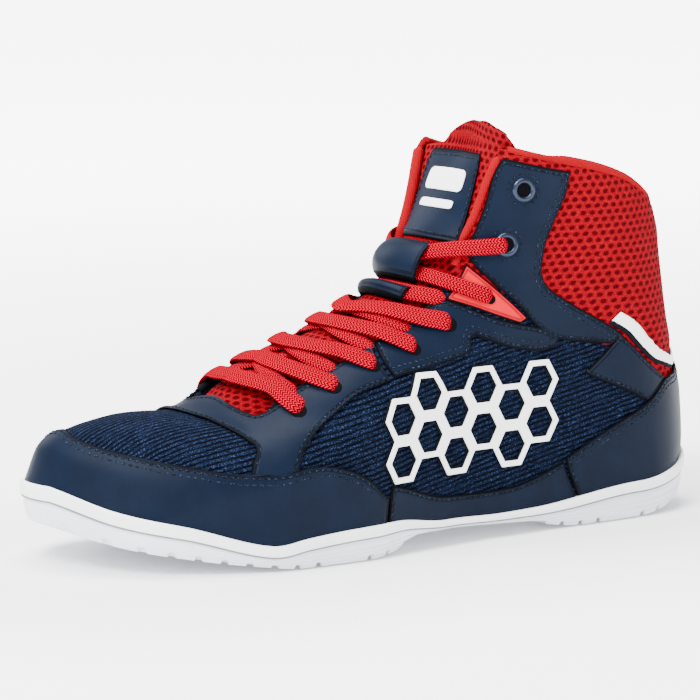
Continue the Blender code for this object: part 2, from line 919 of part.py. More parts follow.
def ribbon_sheet(start, end, path, outs, lift, steps, width, late=1):
    """Flat lace between two places on the surface. The path gives the rise along it
    from the two ends' rises, and lift raises its middle, later along where late is
    over 1."""
    shape = unit_grid(steps, 1)

    def centre(t):
        rise = path(start[0], end[0], 2 * t - 1)
        around = start[1] + (end[1] - start[1]) * t
        out = outs[0] + (outs[1] - outs[0]) * t + lift * lift_share(t) ** late
        return rise, around, out

    def place(u, v):
        rise, around, out = centre(u)
        point = skin(rise, around, out)
        run = skin(*centre(u + STEP)) - skin(*centre(u - STEP))
        side = surface_normal(rise, around).cross(run).normalized()
        return point + side * (v - 0.5) * width

    lay_grid(shape, place)
    rise, around, _ = centre(0)
    face_outwards(shape, surface_normal(rise, around))
    return shape


def straight_path(start, end, q):
    return start + (end - start) * (q + 1) / 2


def level_path(middle):
    """Level through the middle, where the lace lies in its loop."""
    def path(start, end, q):
        target = end if q > 0 else start
        return middle + (target - middle) * abs(q) ** 3
    return path


def bowed_path(middle):
    def path(start, end, q):
        return straight_path(start, end, q) + (middle - (start + end) / 2) * (1 - q * q)
    return path


def join(item, tool):
    union = item.modifiers.new("Join", "BOOLEAN")
    union.operation = "UNION"
    union.solver = "EXACT"
    union.object = tool


def make_guide(item):
    item.hide_render = True
    item.display_type = "WIRE"


def build_ribbon(name, ends, path, outs, lift, steps, material, collection,
                 width=LACE_WIDTH, late=1):
    shape = ribbon_sheet(*ends, path, outs, lift, steps, width, late)
    item = make_object(name, shape, material, collection)
    thicken(item, LACE_THICKNESS, 1)
    return item


def on_tongue_at(rise):
    """How far out a lace lies on the tongue's middle."""
    return tongue_out(rise, 0.0) + LACE_SEAT


def build_laces(material, collection, tools):
    on_panel = PANEL_GAP + PANEL_THICKNESS + LACE_SEAT
    on_tongue = on_tongue_at(LACE_HOLES[2][2])
    landing_lift = lift_share((1 + TAIL_LANDING) / 2)
    previous = None
    for number, (rise, around, middle) in enumerate(LACE_HOLES, start=1):
        bar = build_ribbon(
            f"lace_crossing_{number}", ((rise, -around), (rise, around)), bowed_path(middle),
            (on_panel, on_panel), LACE_LIFT, 10, material, collection,
        )
        if previous:
            landing = (middle - (middle - rise) * TAIL_LANDING ** 2, around * TAIL_LANDING)
            joined = on_panel + LACE_LIFT * landing_lift - LACE_JOINT
            tail = build_ribbon(
                f"lace_tail_{number}", ((previous, -TAIL_START), landing), straight_path,
                (on_tongue, joined), 0.0, 6, material, tools,
            )
            make_guide(tail)
            join(bar, tail)
        previous = middle
    loop_rise = (LOWER_LOOP[0] + LOWER_LOOP[1]) / 2
    build_ribbon(
        "lace_crossing_6", ((loop_rise, -FOLDED_HALF), (loop_rise, FOLDED_HALF)),
        straight_path, (on_tongue_at(loop_rise), on_tongue_at(loop_rise)), 0.0, 6,
        material, collection, LACE_WIDTH * FOLDED_WIDTH,
    )
    loop_rise = (UPPER_LOOP[0] + UPPER_LOOP[1]) / 2
    in_loop = level_path(loop_rise)
    on_tongue = on_tongue_at(loop_rise)
    low, high = INSERT_HOLE, (RING_HOLES[0][0], RING_HOLES[0][1] - EYELET_MARGIN)
    bar = build_ribbon(
        "lace_crossing_7", (low, (high[0], -high[1])), in_loop,
        (on_panel, on_panel), on_tongue - on_panel, 14, material, collection, late=LACE_SLACK,
    )
    tail = build_ribbon(
        "lace_tail_7", ((low[0], -low[1]), high), in_loop, (on_panel, on_panel),
        on_tongue - on_panel + LACE_JOINT, 14, material, tools, late=LACE_SLACK,
    )
    make_guide(tail)
    join(bar, tail)


# Eyelets

def place_on_surface(item, point, normal):
    item.location = point
    item.rotation_mode = "QUATERNION"
    item.rotation_quaternion = normal.to_track_quat("Z", "Y")


def take(item, name, collection):
    item.name = name
    item.data.name = name
    for owner in list(item.users_collection):
        owner.objects.unlink(item)
    collection.objects.link(item)


def build_eyelets(material, collection, tools, panels, upper):
    stand = PANEL_GAP + PANEL_THICKNESS + SEAT_GAP + EYELET_WIRE
    for side_name, side, panel in (("lateral", 1, panels[0]), ("medial", -1, panels[1])):
        for number, (rise, around) in enumerate(RING_HOLES, start=1):
            centre = skin(rise, side * around, stand)
            normal = surface_normal(rise, side * around)
            bpy.ops.mesh.primitive_torus_add(
                major_radius=EYELET_RADIUS - EYELET_WIRE, minor_radius=EYELET_WIRE,
                major_segments=12, minor_segments=4,
            )
            ring = bpy.context.object
            take(ring, f"eyelet_{side_name}_{number}", collection)
            place_on_surface(ring, centre, normal)
            ring.data.materials.append(material)
            ring.data.shade_smooth()
            bpy.ops.mesh.primitive_cylinder_add(
                vertices=10, radius=EYELET_BORE, depth=8 * EYELET_RADIUS,
            )
            bore = bpy.context.object
            take(bore, f"bore_{side_name}_{number}", tools)
            place_on_surface(bore, centre, normal)
            make_guide(bore)
            for item in (panel, upper):
                cut = item.modifiers.new("Eyelet hole", "BOOLEAN")
                cut.operation = "DIFFERENCE"
                cut.solver = "EXACT"
                cut.object = bore


def main():
    clear_scene()
    shoe = make_collection("Wrestling shoe")
    tools = make_collection("Cutters")
    navy_mesh = make_material("Navy mesh", (0.012, 0.022, 0.060), 0.85)
    navy_smooth = make_material("Navy smooth", (0.016, 0.030, 0.075), 0.48)
    red_mesh = make_material("Red mesh", (0.62, 0.012, 0.020), 0.80)
    red_smooth = make_material("Red smooth", (0.75, 0.045, 0.040), 0.45)
    red_lace = make_material("Red lace", (0.65, 0.010, 0.018), 0.75)
    white_rubber = make_material("White rubber", (0.80, 0.81, 0.83), 0.45)
    white_smooth = make_material("White smooth", (0.84, 0.84, 0.84), 0.40)
    grey_board = make_material("Grey board", (0.10, 0.10, 0.12), 0.90)
    dark_metal = make_material("Dark metal", (0.020, 0.026, 0.045), 0.35, 0.8)

    build_outsole(white_rubber, shoe)
    build_midsole(white_rubber, shoe)
    build_insole(grey_board, shoe)
    upper = build_upper(navy_mesh, shoe)
    build_tongue(red_mesh, shoe)

    build_panel("toe_rand", mirrored(TOE_RAND), 28, 4, navy_smooth, shoe)
    build_panel("vamp_saddle", mirrored(VAMP_SADDLE), 32, 4, navy_smooth, shoe,
                out=PANEL_GAP + SEAT_GAP)
    build_side_pair("eyestay", EYESTAY, 13, 3, navy_smooth, shoe)
    build_side_pair("insert", INSERT, 6, 1, red_smooth, shoe)
    collar_panels = build_side_pair("collar_panel", COLLAR_PANEL, 16, 3, navy_smooth, shoe)
    build_side_pair("side_band", SIDE_BAND, 9, 2, navy_smooth, shoe)
    build_side_pair("strap_panel", STRAP_PANEL, 5, 2, navy_smooth, shoe)
    build_panel("heel_counter", across_heel(HEEL_COUNTER), 20, 4, navy_smooth, shoe)
    build_panel("collar_tape", across_heel(COLLAR_TAPE), 26, 1, white_smooth, shoe,
                thickness=TAPE_THICKNESS)
    build_lattice("side_lattice_lateral", 1, white_smooth, shoe)
    build_lattice("side_lattice_medial", -1, white_smooth, shoe)

    build_on_tongue("tongue_patch", TONGUE_PATCH, 0.0, PANEL_THICKNESS, (5, 6),
                    navy_smooth, shoe)
    build_on_tongue("lace_keeper_upper", UPPER_LOOP, UPPER_LOOP_ARCH, LOOP_THICKNESS,
                    (4, 6), navy_smooth, shoe)
    build_on_tongue("lace_keeper_lower", LOWER_LOOP, LOWER_LOOP_ARCH, LOOP_THICKNESS,
                    (4, 6), navy_smooth, shoe)

    build_laces(red_lace, shoe, tools)
    build_eyelets(dark_metal, shoe, tools, collar_panels, upper)


main()
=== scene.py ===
"""Wrestling shoe for the left foot: the visible pieces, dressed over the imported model.

Metres, +Z up. The toe points along +X and the outer side of the foot lies to +Y.
Every form is worked out on one surface, the outside of the upper. A place on it is
(rise, around): rise runs from 0 at the sole to 1 at the collar, and around runs from
0 at the toe or the front of the ankle to 1 at the back of the heel, with plus for
the outer side and minus for the inner side. Places may be arrays.
"""

import math

import bmesh
import bpy
import numpy as np
from mathutils import Matrix, Vector
from mathutils.kdtree import KDTree


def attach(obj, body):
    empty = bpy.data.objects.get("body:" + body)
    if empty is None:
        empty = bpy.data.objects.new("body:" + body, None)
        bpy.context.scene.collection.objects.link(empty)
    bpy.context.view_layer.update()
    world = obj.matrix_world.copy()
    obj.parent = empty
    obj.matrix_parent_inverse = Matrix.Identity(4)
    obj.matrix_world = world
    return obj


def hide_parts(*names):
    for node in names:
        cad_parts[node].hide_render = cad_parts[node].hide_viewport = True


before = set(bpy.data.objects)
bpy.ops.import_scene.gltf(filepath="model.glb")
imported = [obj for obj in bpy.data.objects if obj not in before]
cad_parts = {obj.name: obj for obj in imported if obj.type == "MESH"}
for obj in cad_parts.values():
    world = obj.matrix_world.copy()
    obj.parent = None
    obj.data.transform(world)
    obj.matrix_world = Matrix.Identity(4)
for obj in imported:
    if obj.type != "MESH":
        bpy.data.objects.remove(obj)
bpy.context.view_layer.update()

MM = 0.001

# Sizes of the last and the sole, as in the part's source
SHOE_LENGTH = 284 * MM
BALL_WIDTH = 96 * MM
ANKLE_WIDTH = 67 * MM
UPPER_HEIGHT = 143.5 * MM
HEEL_TO_ORIGIN = 48 * MM
HEEL_INSET = 14.5 * MM
SOLE_HEIGHT = 14.7 * MM
TOE_SPRING = 17 * MM
BAND_HEIGHT = 4.4 * MM
SOLE_LIP = 2.4 * MM
OUTSOLE_STEP = 0.8 * MM
LUG_DEPTH = 1.6 * MM
LUG_PITCH = 9 * MM
LUG_GROOVE = 3 * MM
LUG_DRAFT = 0.6 * MM
LUG_ZIGZAG = 2.5 * MM
FLAT_PAD = 20 * MM

# Walls of the soft pieces
WALL = 2.2 * MM
COLLAR_PADDING = 6 * MM
TONGUE_THICKNESS = 4.5 * MM
TONGUE_GAP = 1.3 * MM
TONGUE_CROWN = 4.6 * MM
INSOLE_THICKNESS = 3.5 * MM
PANEL_THICKNESS = 0.9 * MM
STITCH_PITCH = 2.7 * MM
STITCH_LENGTH = 1.9 * MM
STITCH_INSET = 1.5 * MM
STITCH_ROWS = 2.1 * MM

LACE_WIDTH = 7.8 * MM
LACE_THICKNESS = 1.5 * MM
EYELET_RADIUS = 4.6 * MM
EYELET_BORE = 2.5 * MM
CELL_RADIUS = 9.2 * MM
CELL_STRUT = 4.2 * MM
LATTICE_THICKNESS = 0.9 * MM

# Rise of the path that the collar mesh's map is measured along
GIRTH_RISE = 0.72
# Step in rise or around that slopes of the surface are taken over
STEP = 0.002
WELD = 0.01 * MM
SIDES = ((1, "lateral"), (-1, "medial"))

# Share of length, then the half widths of the sole's edge as shares of the ball width
PLAN = [
    (0.00, 0.281, 0.260), (0.08, 0.323, 0.312), (0.18, 0.354, 0.333), (0.30, 0.359, 0.307),
    (0.42, 0.375, 0.281), (0.54, 0.427, 0.323), (0.64, 0.479, 0.417), (0.73, 0.474, 0.484),
    (0.82, 0.406, 0.500), (0.90, 0.302, 0.479), (1.00, 0.115, 0.437),
]
# Share of length, ground clearance, thickness and band height as shares of their sizes
SOLE = [
    (0.00, 0.47, 0.99, 1.15), (0.06, 0.18, 1.00, 1.00), (0.14, 0.00, 1.00, 0.90),
    (0.24, 0.00, 0.83, 0.85), (0.33, 0.20, 0.43, 0.65), (0.41, 0.30, 0.30, 0.55),
    (0.48, 0.36, 0.28, 0.55), (0.535, 0.32, 0.45, 0.70), (0.575, 0.08, 0.80, 0.85),
    (0.61, 0.00, 0.89, 0.95), (0.72, 0.00, 0.77, 0.95), (0.77, 0.09, 0.56, 0.95),
    (0.88, 0.38, 0.82, 1.05), (0.95, 0.64, 0.87, 1.15), (1.00, 1.00, 0.95, 1.25),
]
# Share of length, height of the toe box and instep as a share of the upper's height
CROWN = [
    (0.412, 1.000), (0.425, 0.868), (0.450, 0.723), (0.490, 0.603), (0.570, 0.492),
    (0.650, 0.424), (0.740, 0.353), (0.790, 0.304), (0.840, 0.276), (0.900, 0.234),
    (0.955, 0.178), (0.985, 0.107), (1.000, 0.000),
]
COLLAR = [(0.05, 0.674), (0.10, 0.774), (0.20, 0.869), (0.412, 1.000)]
# Height as a share of the upper's height, lean of the heel's back as a share of its inset
HEEL_BACK = [
    (0.10, 0.14), (0.21, 0.00), (0.335, 0.07), (0.453, 0.38), (0.613, 0.76),
    (0.753, 0.97), (0.871, 1.00),
]
# Rise, rounded front, rounded back, half width of the ankle, turn into the ankle's section
SECTION = [
    (0.00, 0.312, 0.333, 0.492, 0.00), (0.08, 0.480, 0.343, 0.490, 0.01),
    (0.16, 0.646, 0.353, 0.487, 0.02), (0.30, 0.625, 0.375, 0.484, 0.10),
    (0.50, 0.480, 0.420, 0.478, 0.45), (0.75, 0.390, 0.460, 0.492, 0.90),
    (1.00, 0.333, 0.500, 0.507, 1.00),
]
# Rise, half width of the throat's opening as a place around
THROAT = [
    (0.285, 0.140), (0.370, 0.155), (0.500, 0.175), (0.600, 0.184), (0.725, 0.179),
    (0.800, 0.192), (0.900, 0.208), (1.000, 0.236),
]
THROAT_FRONT = 0.252

# Lace places on the outer side: rise and around of the hole, then the lace's rise over
# the throat's middle and half way down to the hole
LACE_HOLES = [
    (0.266, 0.196, 0.306, 0.299), (0.314, 0.206, 0.342, 0.330), (0.364, 0.220, 0.376, 0.377),
    (0.423, 0.241, 0.431, 0.431), (0.500, 0.256, 0.468, 0.494),
]
INSERT_HOLE = (0.586, 0.305)
RING_HOLES = [(0.738, 0.295), (0.899, 0.312)]
UPPER_LOOP = (0.589, 0.706, 0.104)
LOWER_LOOP = (0.530, 0.573, 0.110)
TONGUE_PATCH = (0.718, 0.972, 0.172)

# Panels: each row has the rise and around of one edge, then of the other edge
TOE_RAND = [
    (-0.020, 0.000, 0.128, 0.000), (-0.020, 0.060, 0.118, 0.060),
    (-0.020, 0.120, 0.116, 0.120), (-0.020, 0.182, 0.116, 0.182),
    (-0.020, 0.238, 0.128, 0.238), (-0.020, 0.285, 0.150, 0.285),
    (-0.020, 0.330, 0.155, 0.330), (-0.020, 0.372, 0.138, 0.375),
    (-0.020, 0.408, 0.110, 0.408), (-0.020, 0.442, 0.055, 0.440),
]
VAMP_SADDLE = [
    (0.280, 0.000, 0.236, 0.000), (0.269, 0.070, 0.233, 0.080),
    (0.259, 0.116, 0.224, 0.143), (0.256, 0.134, 0.213, 0.184),
    (0.266, 0.147, 0.202, 0.212), (0.296, 0.153, 0.190, 0.229),
    (0.334, 0.155, 0.160, 0.254), (0.343, 0.1555, 0.118, 0.290),
    (0.351, 0.156, 0.118, 0.334), (0.362, 0.1565, 0.208, 0.274),
    (0.376, 0.1575, 0.255, 0.251), (0.392, 0.159, 0.295, 0.253),
    (0.410, 0.161, 0.334, 0.277),
]
EYESTAY = [
    (0.414, 0.162, 0.339, 0.280), (0.455, 0.168, 0.388, 0.312),
    (0.495, 0.176, 0.430, 0.343), (0.535, 0.185, 0.470, 0.322),
    (0.558, 0.205, 0.478, 0.326), (0.548, 0.270, 0.472, 0.350),
    (0.533, 0.335, 0.462, 0.390), (0.524, 0.390, 0.452, 0.430),
    (0.516, 0.445, 0.448, 0.470), (0.488, 0.500, 0.456, 0.505),
]
INSERT = [
    (0.668, 0.212, 0.560, 0.205), (0.624, 0.290, 0.551, 0.278),
    (0.581, 0.355, 0.538, 0.340), (0.540, 0.412, 0.523, 0.400),
]
COLLAR_PANEL = [
    (0.975, 0.244, 0.975, 0.442), (0.920, 0.225, 0.920, 0.438),
    (0.840, 0.218, 0.838, 0.415), (0.770, 0.209, 0.750, 0.396),
    (0.705, 0.200, 0.690, 0.400), (0.672, 0.226, 0.655, 0.412),
    (0.622, 0.300, 0.625, 0.438), (0.562, 0.388, 0.600, 0.475),
    (0.517, 0.440, 0.570, 0.520), (0.480, 0.500, 0.545, 0.560),
    (0.466, 0.570, 0.515, 0.606), (0.457, 0.622, 0.490, 0.640),
]
SIDE_BAND = [
    (-0.020, 0.444, 0.086, 0.442), (-0.020, 0.515, 0.060, 0.515),
    (-0.020, 0.580, 0.068, 0.580), (-0.020, 0.671, 0.116, 0.643),
]
STRAP_PANEL = [
    (0.372, 0.592, 0.492, 0.634), (0.338, 0.640, 0.448, 0.682),
    (0.304, 0.692, 0.402, 0.728), (0.270, 0.742, 0.352, 0.785),
]
HEEL_COUNTER = [
    (-0.020, 0.672, 0.124, 0.644), (-0.020, 0.700, 0.180, 0.682),
    (-0.020, 0.725, 0.228, 0.715), (-0.020, 0.752, 0.280, 0.746),
    (-0.020, 0.790, 0.350, 0.788), (-0.020, 0.860, 0.378, 0.860),
    (-0.020, 0.930, 0.385, 0.930), (-0.020, 1.000, 0.388, 1.000),
]
COLLAR_TAPE = [
    (0.533, 0.606, 0.562, 0.622), (0.503, 0.652, 0.535, 0.668),
    (0.455, 0.700, 0.490, 0.714), (0.412, 0.760, 0.448, 0.772),
    (0.403, 0.850, 0.440, 0.850), (0.408, 0.930, 0.444, 0.930),
    (0.410, 1.000, 0.446, 1.000),
]
LATTICE_COLUMNS = [(0, 2), (1, 2), (0, 2), (1, 2), (0, 2), (1, 2)]
LATTICE_FRONT = 0.560
LATTICE_BASE = 0.245

# Around, rise of the line where the red collar mesh begins
RED_LINE = [(0.30, 0.620), (0.42, 0.560), (0.52, 0.500), (0.606, 0.462), (0.655, 0.440),
            (0.706, 0.400), (0.762, 0.355), (1.00, 0.375)]
# Rise, around of the line under the saddle that parts the vamp from the side
VAMP_LINE = [(0.00, 0.300), (0.17, 0.290), (0.23, 0.245), (0.30, 0.190), (0.40, 0.160)]


class Curve:
    """A smooth line through the rows of a table, with no overshoot between them."""

    def __init__(self, table, column=1):
        self.at = np.array([row[0] for row in table], float)
        self.to = np.array([row[column] for row in table], float)
        gaps = np.diff(self.at)
        slopes = np.diff(self.to) / gaps
        self.slope = np.zeros(len(self.at))
        self.slope[0], self.slope[-1] = slopes[0], slopes[-1]
        for i in range(1, len(slopes)):
            before, after = slopes[i - 1], slopes[i]
            if before * after > 0:
                near, far = gaps[i - 1], gaps[i]
                weights = (near + 2 * far) / before + (far + 2 * near) / after
                self.slope[i] = 3 * (near + far) / weights

    def __call__(self, x):
        x = np.clip(x, self.at[0], self.at[-1])
        i = np.clip(np.searchsorted(self.at, x, side="right") - 1, 0, len(self.at) - 2)
        gap = self.at[i + 1] - self.at[i]
        t = (x - self.at[i]) / gap
        return (
            (1 + 2 * t) * (1 - t) ** 2 * self.to[i]
            + t * (1 - t) ** 2 * gap * self.slope[i]
            + t * t * (3 - 2 * t) * self.to[i + 1]
            + t * t * (t - 1) * gap * self.slope[i + 1]
        )


outer_half, inner_half = Curve(PLAN, 1), Curve(PLAN, 2)
clearance_share, thickness_share, band_share = (Curve(SOLE, column) for column in (1, 2, 3))
crown_share, collar_share, heel_share = Curve(CROWN), Curve(COLLAR), Curve(HEEL_BACK)
front_round, back_round = Curve(SECTION, 1), Curve(SECTION, 2)
ankle_half, ankle_blend = Curve(SECTION, 3), Curve(SECTION, 4)
throat_half = Curve(THROAT)
red_line, vamp_line = Curve(RED_LINE), Curve(VAMP_LINE)

COLLAR_FRONT = COLLAR[-1][0]
COLLAR_SLOPE = (COLLAR[-1][1] - COLLAR[-2][1]) / (COLLAR[-1][0] - COLLAR[-2][0])


# The surface

def length_share(x):
    return (x + HEEL_TO_ORIGIN) / SHOE_LENGTH


def feather_height(share):
    return clearance_share(share) * TOE_SPRING + thickness_share(share) * SOLE_HEIGHT


def split_height(share):
    return feather_height(share) - band_share(share) * BAND_HEIGHT


def collar_rise(share):
    beyond = np.maximum(share - COLLAR_FRONT, 0)
    return (collar_share(share) + COLLAR_SLOPE * beyond) * UPPER_HEIGHT


def find_ends():
    """X of the front and of the back of the form at many rises."""
    rises = np.linspace(-0.05, 1.25, 2601)
    low, high = np.full(rises.shape, COLLAR_FRONT), np.ones(rises.shape)
    for _ in range(40):
        middle = (low + high) / 2
        inside = rises * collar_rise(middle) < crown_share(middle) * UPPER_HEIGHT
        low, high = np.where(inside, middle, low), np.where(inside, high, middle)
    back = np.full(rises.shape, -HEEL_TO_ORIGIN)
    for _ in range(12):
        share = length_share(back)
        height = feather_height(share) + rises * collar_rise(share)
        back = heel_share(height / UPPER_HEIGHT) * HEEL_INSET - HEEL_TO_ORIGIN
    return rises, low * SHOE_LENGTH - HEEL_TO_ORIGIN, back


END_RISES, FRONT_ENDS, BACK_ENDS = find_ends()


def rounded_end(distance, length):
    t = np.clip(distance / length, 0, 1)
    return np.sqrt(1 - (1 - t) ** 2)


def on_surface(rise, around):
    rise, around = np.broadcast_arrays(np.asarray(rise, float), np.asarray(around, float))
    around = (around + 1) % 2 - 1
    front = np.interp(rise, END_RISES, FRONT_ENDS)
    back = np.interp(rise, END_RISES, BACK_ENDS)
    x = back + (front - back) * (1 + np.cos(np.pi * around)) / 2
    share = length_share(x)
    turned = ankle_blend(rise)
    ankle = ankle_half(rise) * ANKLE_WIDTH
    outer = outer_half(share) * BALL_WIDTH * (1 - turned) + ankle * turned
    inner = inner_half(share) * BALL_WIDTH * (1 - turned) + ankle * turned
    half = (outer + inner) / 2
    half = half * rounded_end(front - x, front_round(rise) * BALL_WIDTH)
    half = half * rounded_end(x - back, back_round(rise) * BALL_WIDTH)
    y = (outer - inner) / 2 + np.sign(around) * half
    return np.stack([x, y, feather_height(share) + rise * collar_rise(share)], -1)


def unit(vectors):
    return vectors / np.maximum(np.linalg.norm(vectors, axis=-1, keepdims=True), 1e-12)


def surface_normal(rise, around):
    along = on_surface(rise, around + STEP) - on_surface(rise, around - STEP)
    up = on_surface(rise + STEP, around) - on_surface(rise - STEP, around)
    return unit(np.cross(along, up))


def skin(rise, around, out=0.0):
    """A point that stands out from the surface by a distance."""
    rise, around = np.asarray(rise, float), np.asarray(around, float)
    out = np.asarray(out, float)
    return on_surface(rise, around) + surface_normal(rise, around) * out[..., None]


def sole_edge(around, spread):
    ahead, behind = on_surface(0.0, around + STEP), on_surface(0.0, around - STEP)
    run = ahead - behind
    outward = unit(np.stack([run[..., 1], -run[..., 0], np.zeros(run.shape[:-1])], -1))
    return on_surface(0.0, around) + outward * np.asarray(spread)[..., None]


def around_at(share):
    """Place around on the sole's outline at a share of the length."""
    return np.arccos(np.clip(2 * np.asarray(share, float) - 1, -1, 1)) / np.pi


def way_along(path):
    """Length of the way along a path to each of its points."""
    return np.concatenate([[0], np.cumsum(np.linalg.norm(np.diff(path, axis=0), axis=1))])


def girth_table():
    """Around, and the length of the way to it from the back of the heel."""
    around = np.linspace(0, 1, 400)
    way = way_along(on_surface(GIRTH_RISE, around))
    return around, way[-1] - way


GIRTH_AT, GIRTH = girth_table()


def nearest(u, count):
    """Index of the row that a share of the way from 0 to 1 stands for."""
    return np.round(u * (count - 1)).astype(int)


def ramp(value, low, high):
    t = np.clip((np.asarray(value, float) - low) / (high - low), 0, 1)
    return t * t * (3 - 2 * t)


# Material nodes

class Sock:
    """A node's socket or a number, with arithmetic that adds Math nodes."""

    def __init__(self, paint, value):
        self.paint, self.value = paint, value

    def math(self, operation, *others):
        values = [self] + list(others)
        return self.paint.node("ShaderNodeMath", {"operation": operation}, *values)

    def __add__(self, other):
        return self.math("ADD", other)

    def __sub__(self, other):
        return self.math("SUBTRACT", other)

    def __rsub__(self, other):
        return Sock(self.paint, other).math("SUBTRACT", self)

    def __mul__(self, other):
        return self.math("MULTIPLY", other)

    def __truediv__(self, other):
        return self.math("DIVIDE", other)

    def __pow__(self, other):
        return self.math("POWER", other)

    __radd__ = __add__
    __rmul__ = __mul__

    def floor(self):
        return self.math("FLOOR")

    def fraction(self):
        return self.math("FRACT")

    def size(self):
        return self.math("ABSOLUTE")

    def most(self, other):
        return self.math("MAXIMUM", other)

    def wave(self):
        """Sine of this many turns."""
        return (self * (2 * math.pi)).math("SINE")

    def step(self, low, high):
        """0 below low, 1 above high, smooth between them, or the other way round."""
        settings = {"interpolation_type": "SMOOTHSTEP"}
        if low < high:
            return self.paint.node("ShaderNodeMapRange", settings, self, low, high, 0.0, 1.0)
        return self.paint.node("ShaderNodeMapRange", settings, self, high, low, 1.0, 0.0)


class Paint:
    """One material with its Principled shader."""

    def __init__(self, name, colour, roughness, gloss=0.5, metallic=0.0):
        self.material = bpy.data.materials.new(name)
        self.material.use_nodes = True
        self.tree = self.material.node_tree
        self.shader = self.tree.nodes["Principled BSDF"]
        self.set("Base Color", (*colour, 1.0))
        self.set("Roughness", roughness)
        self.set("Metallic", metallic)
        self.set("Specular IOR Level", gloss)

    def set(self, socket, value):
        if isinstance(value, Sock):
            self.tree.links.new(value.value, self.shader.inputs[socket])
        else:
            self.shader.inputs[socket].default_value = value

    def node(self, kind, settings, *values, output=0, **named):
        node = self.tree.nodes.new(kind)
        for setting, value in settings.items():
            setattr(node, setting, value)
        for key, value in list(enumerate(values)) + list(named.items()):
            if value is None:
                continue
            socket = node.inputs[key if isinstance(key, int) else key.replace("_", " ")]
            if isinstance(value, Sock) and hasattr(value.value, "is_output"):
                self.tree.links.new(value.value, socket)
            else:
                socket.default_value = value.value if isinstance(value, Sock) else value
        return Sock(self, node.outputs[output])

    def split(self, vector):
        first = self.node("ShaderNodeSeparateXYZ", {}, vector)
        return [Sock(self, socket) for socket in first.value.node.outputs]

    def uv(self):
        """The piece's own map, in millimetres: along and across."""
        along, across, _ = self.split(self.node("ShaderNodeUVMap", {"uv_map": "Flat"}))
        return along * 1000, across * 1000

    def edge(self):
        """Distance from the panel's edge, in millimetres."""
        return self.node("ShaderNodeAttribute", {"attribute_name": "edge"}, output=2) * 1000

    def place(self):
        return self.node("ShaderNodeTexCoord", {}, output=3)

    def noise(self, size, detail=2.0, vector=None):
        """Cloudy value about 0.5, with lumps of a size in millimetres."""
        vector = vector or self.place()
        return self.node("ShaderNodeTexNoise", {}, vector, None, 1000 / size, detail)

    def pair(self, x, y, z=0.0):
        return self.node("ShaderNodeCombineXYZ", {}, x, y, z)

    def mix(self, amount, *colours):
        """The first colour where the amount is 0, the second where it is 1."""
        colours = [value if isinstance(value, Sock) else (*value, 1.0) for value in colours]
        settings = {"data_type": "RGBA", "clamp_factor": True}
        return self.node("ShaderNodeMix", settings, amount, *[None] * 5, *colours, output=2)

    def bump(self, height, depth):
        """Relief of a depth in millimetres for a height from 0 to 1."""
        self.set("Normal", self.node(
            "ShaderNodeBump", {}, Strength=1.0, Distance=depth * MM, Height=height,
        ))


def smooth_leather(name, colour, edge_colour, roughness):
    """Coated panel: fine grain, a cut edge, and a groove under its seam that is darkened with
    painted shade.
    """
    paint = Paint(name, colour, roughness, gloss=0.045)
    edge = paint.edge()
    grain = paint.noise(0.55, 3.0)
    cloud = paint.noise(14.0, 2.0)
    cut = edge.step(0.95, 0.60)
    light = tuple(min(value * 1.22, 1) for value in colour)
    body = paint.mix(cloud.step(0.3, 0.7), colour, light)
    furrow_and_painted_shade = ((edge - STITCH_INSET / MM).size()).step(0.75, 0.10)
    # Painted shade: the base colour turns dark in the groove under the stitches.
    dark = tuple(value * 0.35 for value in colour)
    body = paint.mix(furrow_and_painted_shade * 0.75, body, dark)
    paint.set("Base Color", paint.mix(cut, body, edge_colour))
    paint.set("Roughness", (cut * 0.25 + grain * 0.10 + (roughness - 0.05)))
    paint.bump(grain * 0.16 - furrow_and_painted_shade * 0.9, 0.22)
    return paint.material


def ribbed_knit(name, colour, light, dark, pitch):
    """Ribbed mesh: rows of yarn with painted shade down their sides and in the broken gaps between
    them, and pale flecks.
    """
    paint = Paint(name, colour, 0.85, gloss=0.03)
    along, across = paint.uv()
    wander = paint.noise(9.0, 1.0)
    row = across / pitch + (wander - 0.5) * 0.5
    in_row = (row.fraction() - 0.5).size() * 2
    number = row.floor()
    broken = paint.noise(1.0, 1.0, paint.pair(along * 0.00016, number * 0.0013))
    gap = in_row.step(0.46, 0.80) * broken.step(0.34, 0.52)
    yarn = (along / 1.15 + in_row * 0.6 + number * 0.37).wave() * 0.5 + 0.5
    fleck = paint.noise(0.42, 2.0).step(0.50, 0.72)
    # Painted shade: each row is darker towards its sides.
    ridge = (1 - in_row) * 0.75 + 0.25
    tone = paint.mix(ridge * 0.55 + yarn * 0.25, dark, colour)
    tone = paint.mix(fleck * ridge * 0.60, tone, light)
    # Painted shade: the broken gaps between rows are filled with a near-black copy of the colour.
    paint.set("Base Color", paint.mix(gap, tone, tuple(value * 0.18 for value in colour)))
    paint.bump(ridge * 0.8 + yarn * 0.25 - gap * 0.7 + fleck * 0.15, 0.42)
    return paint.material


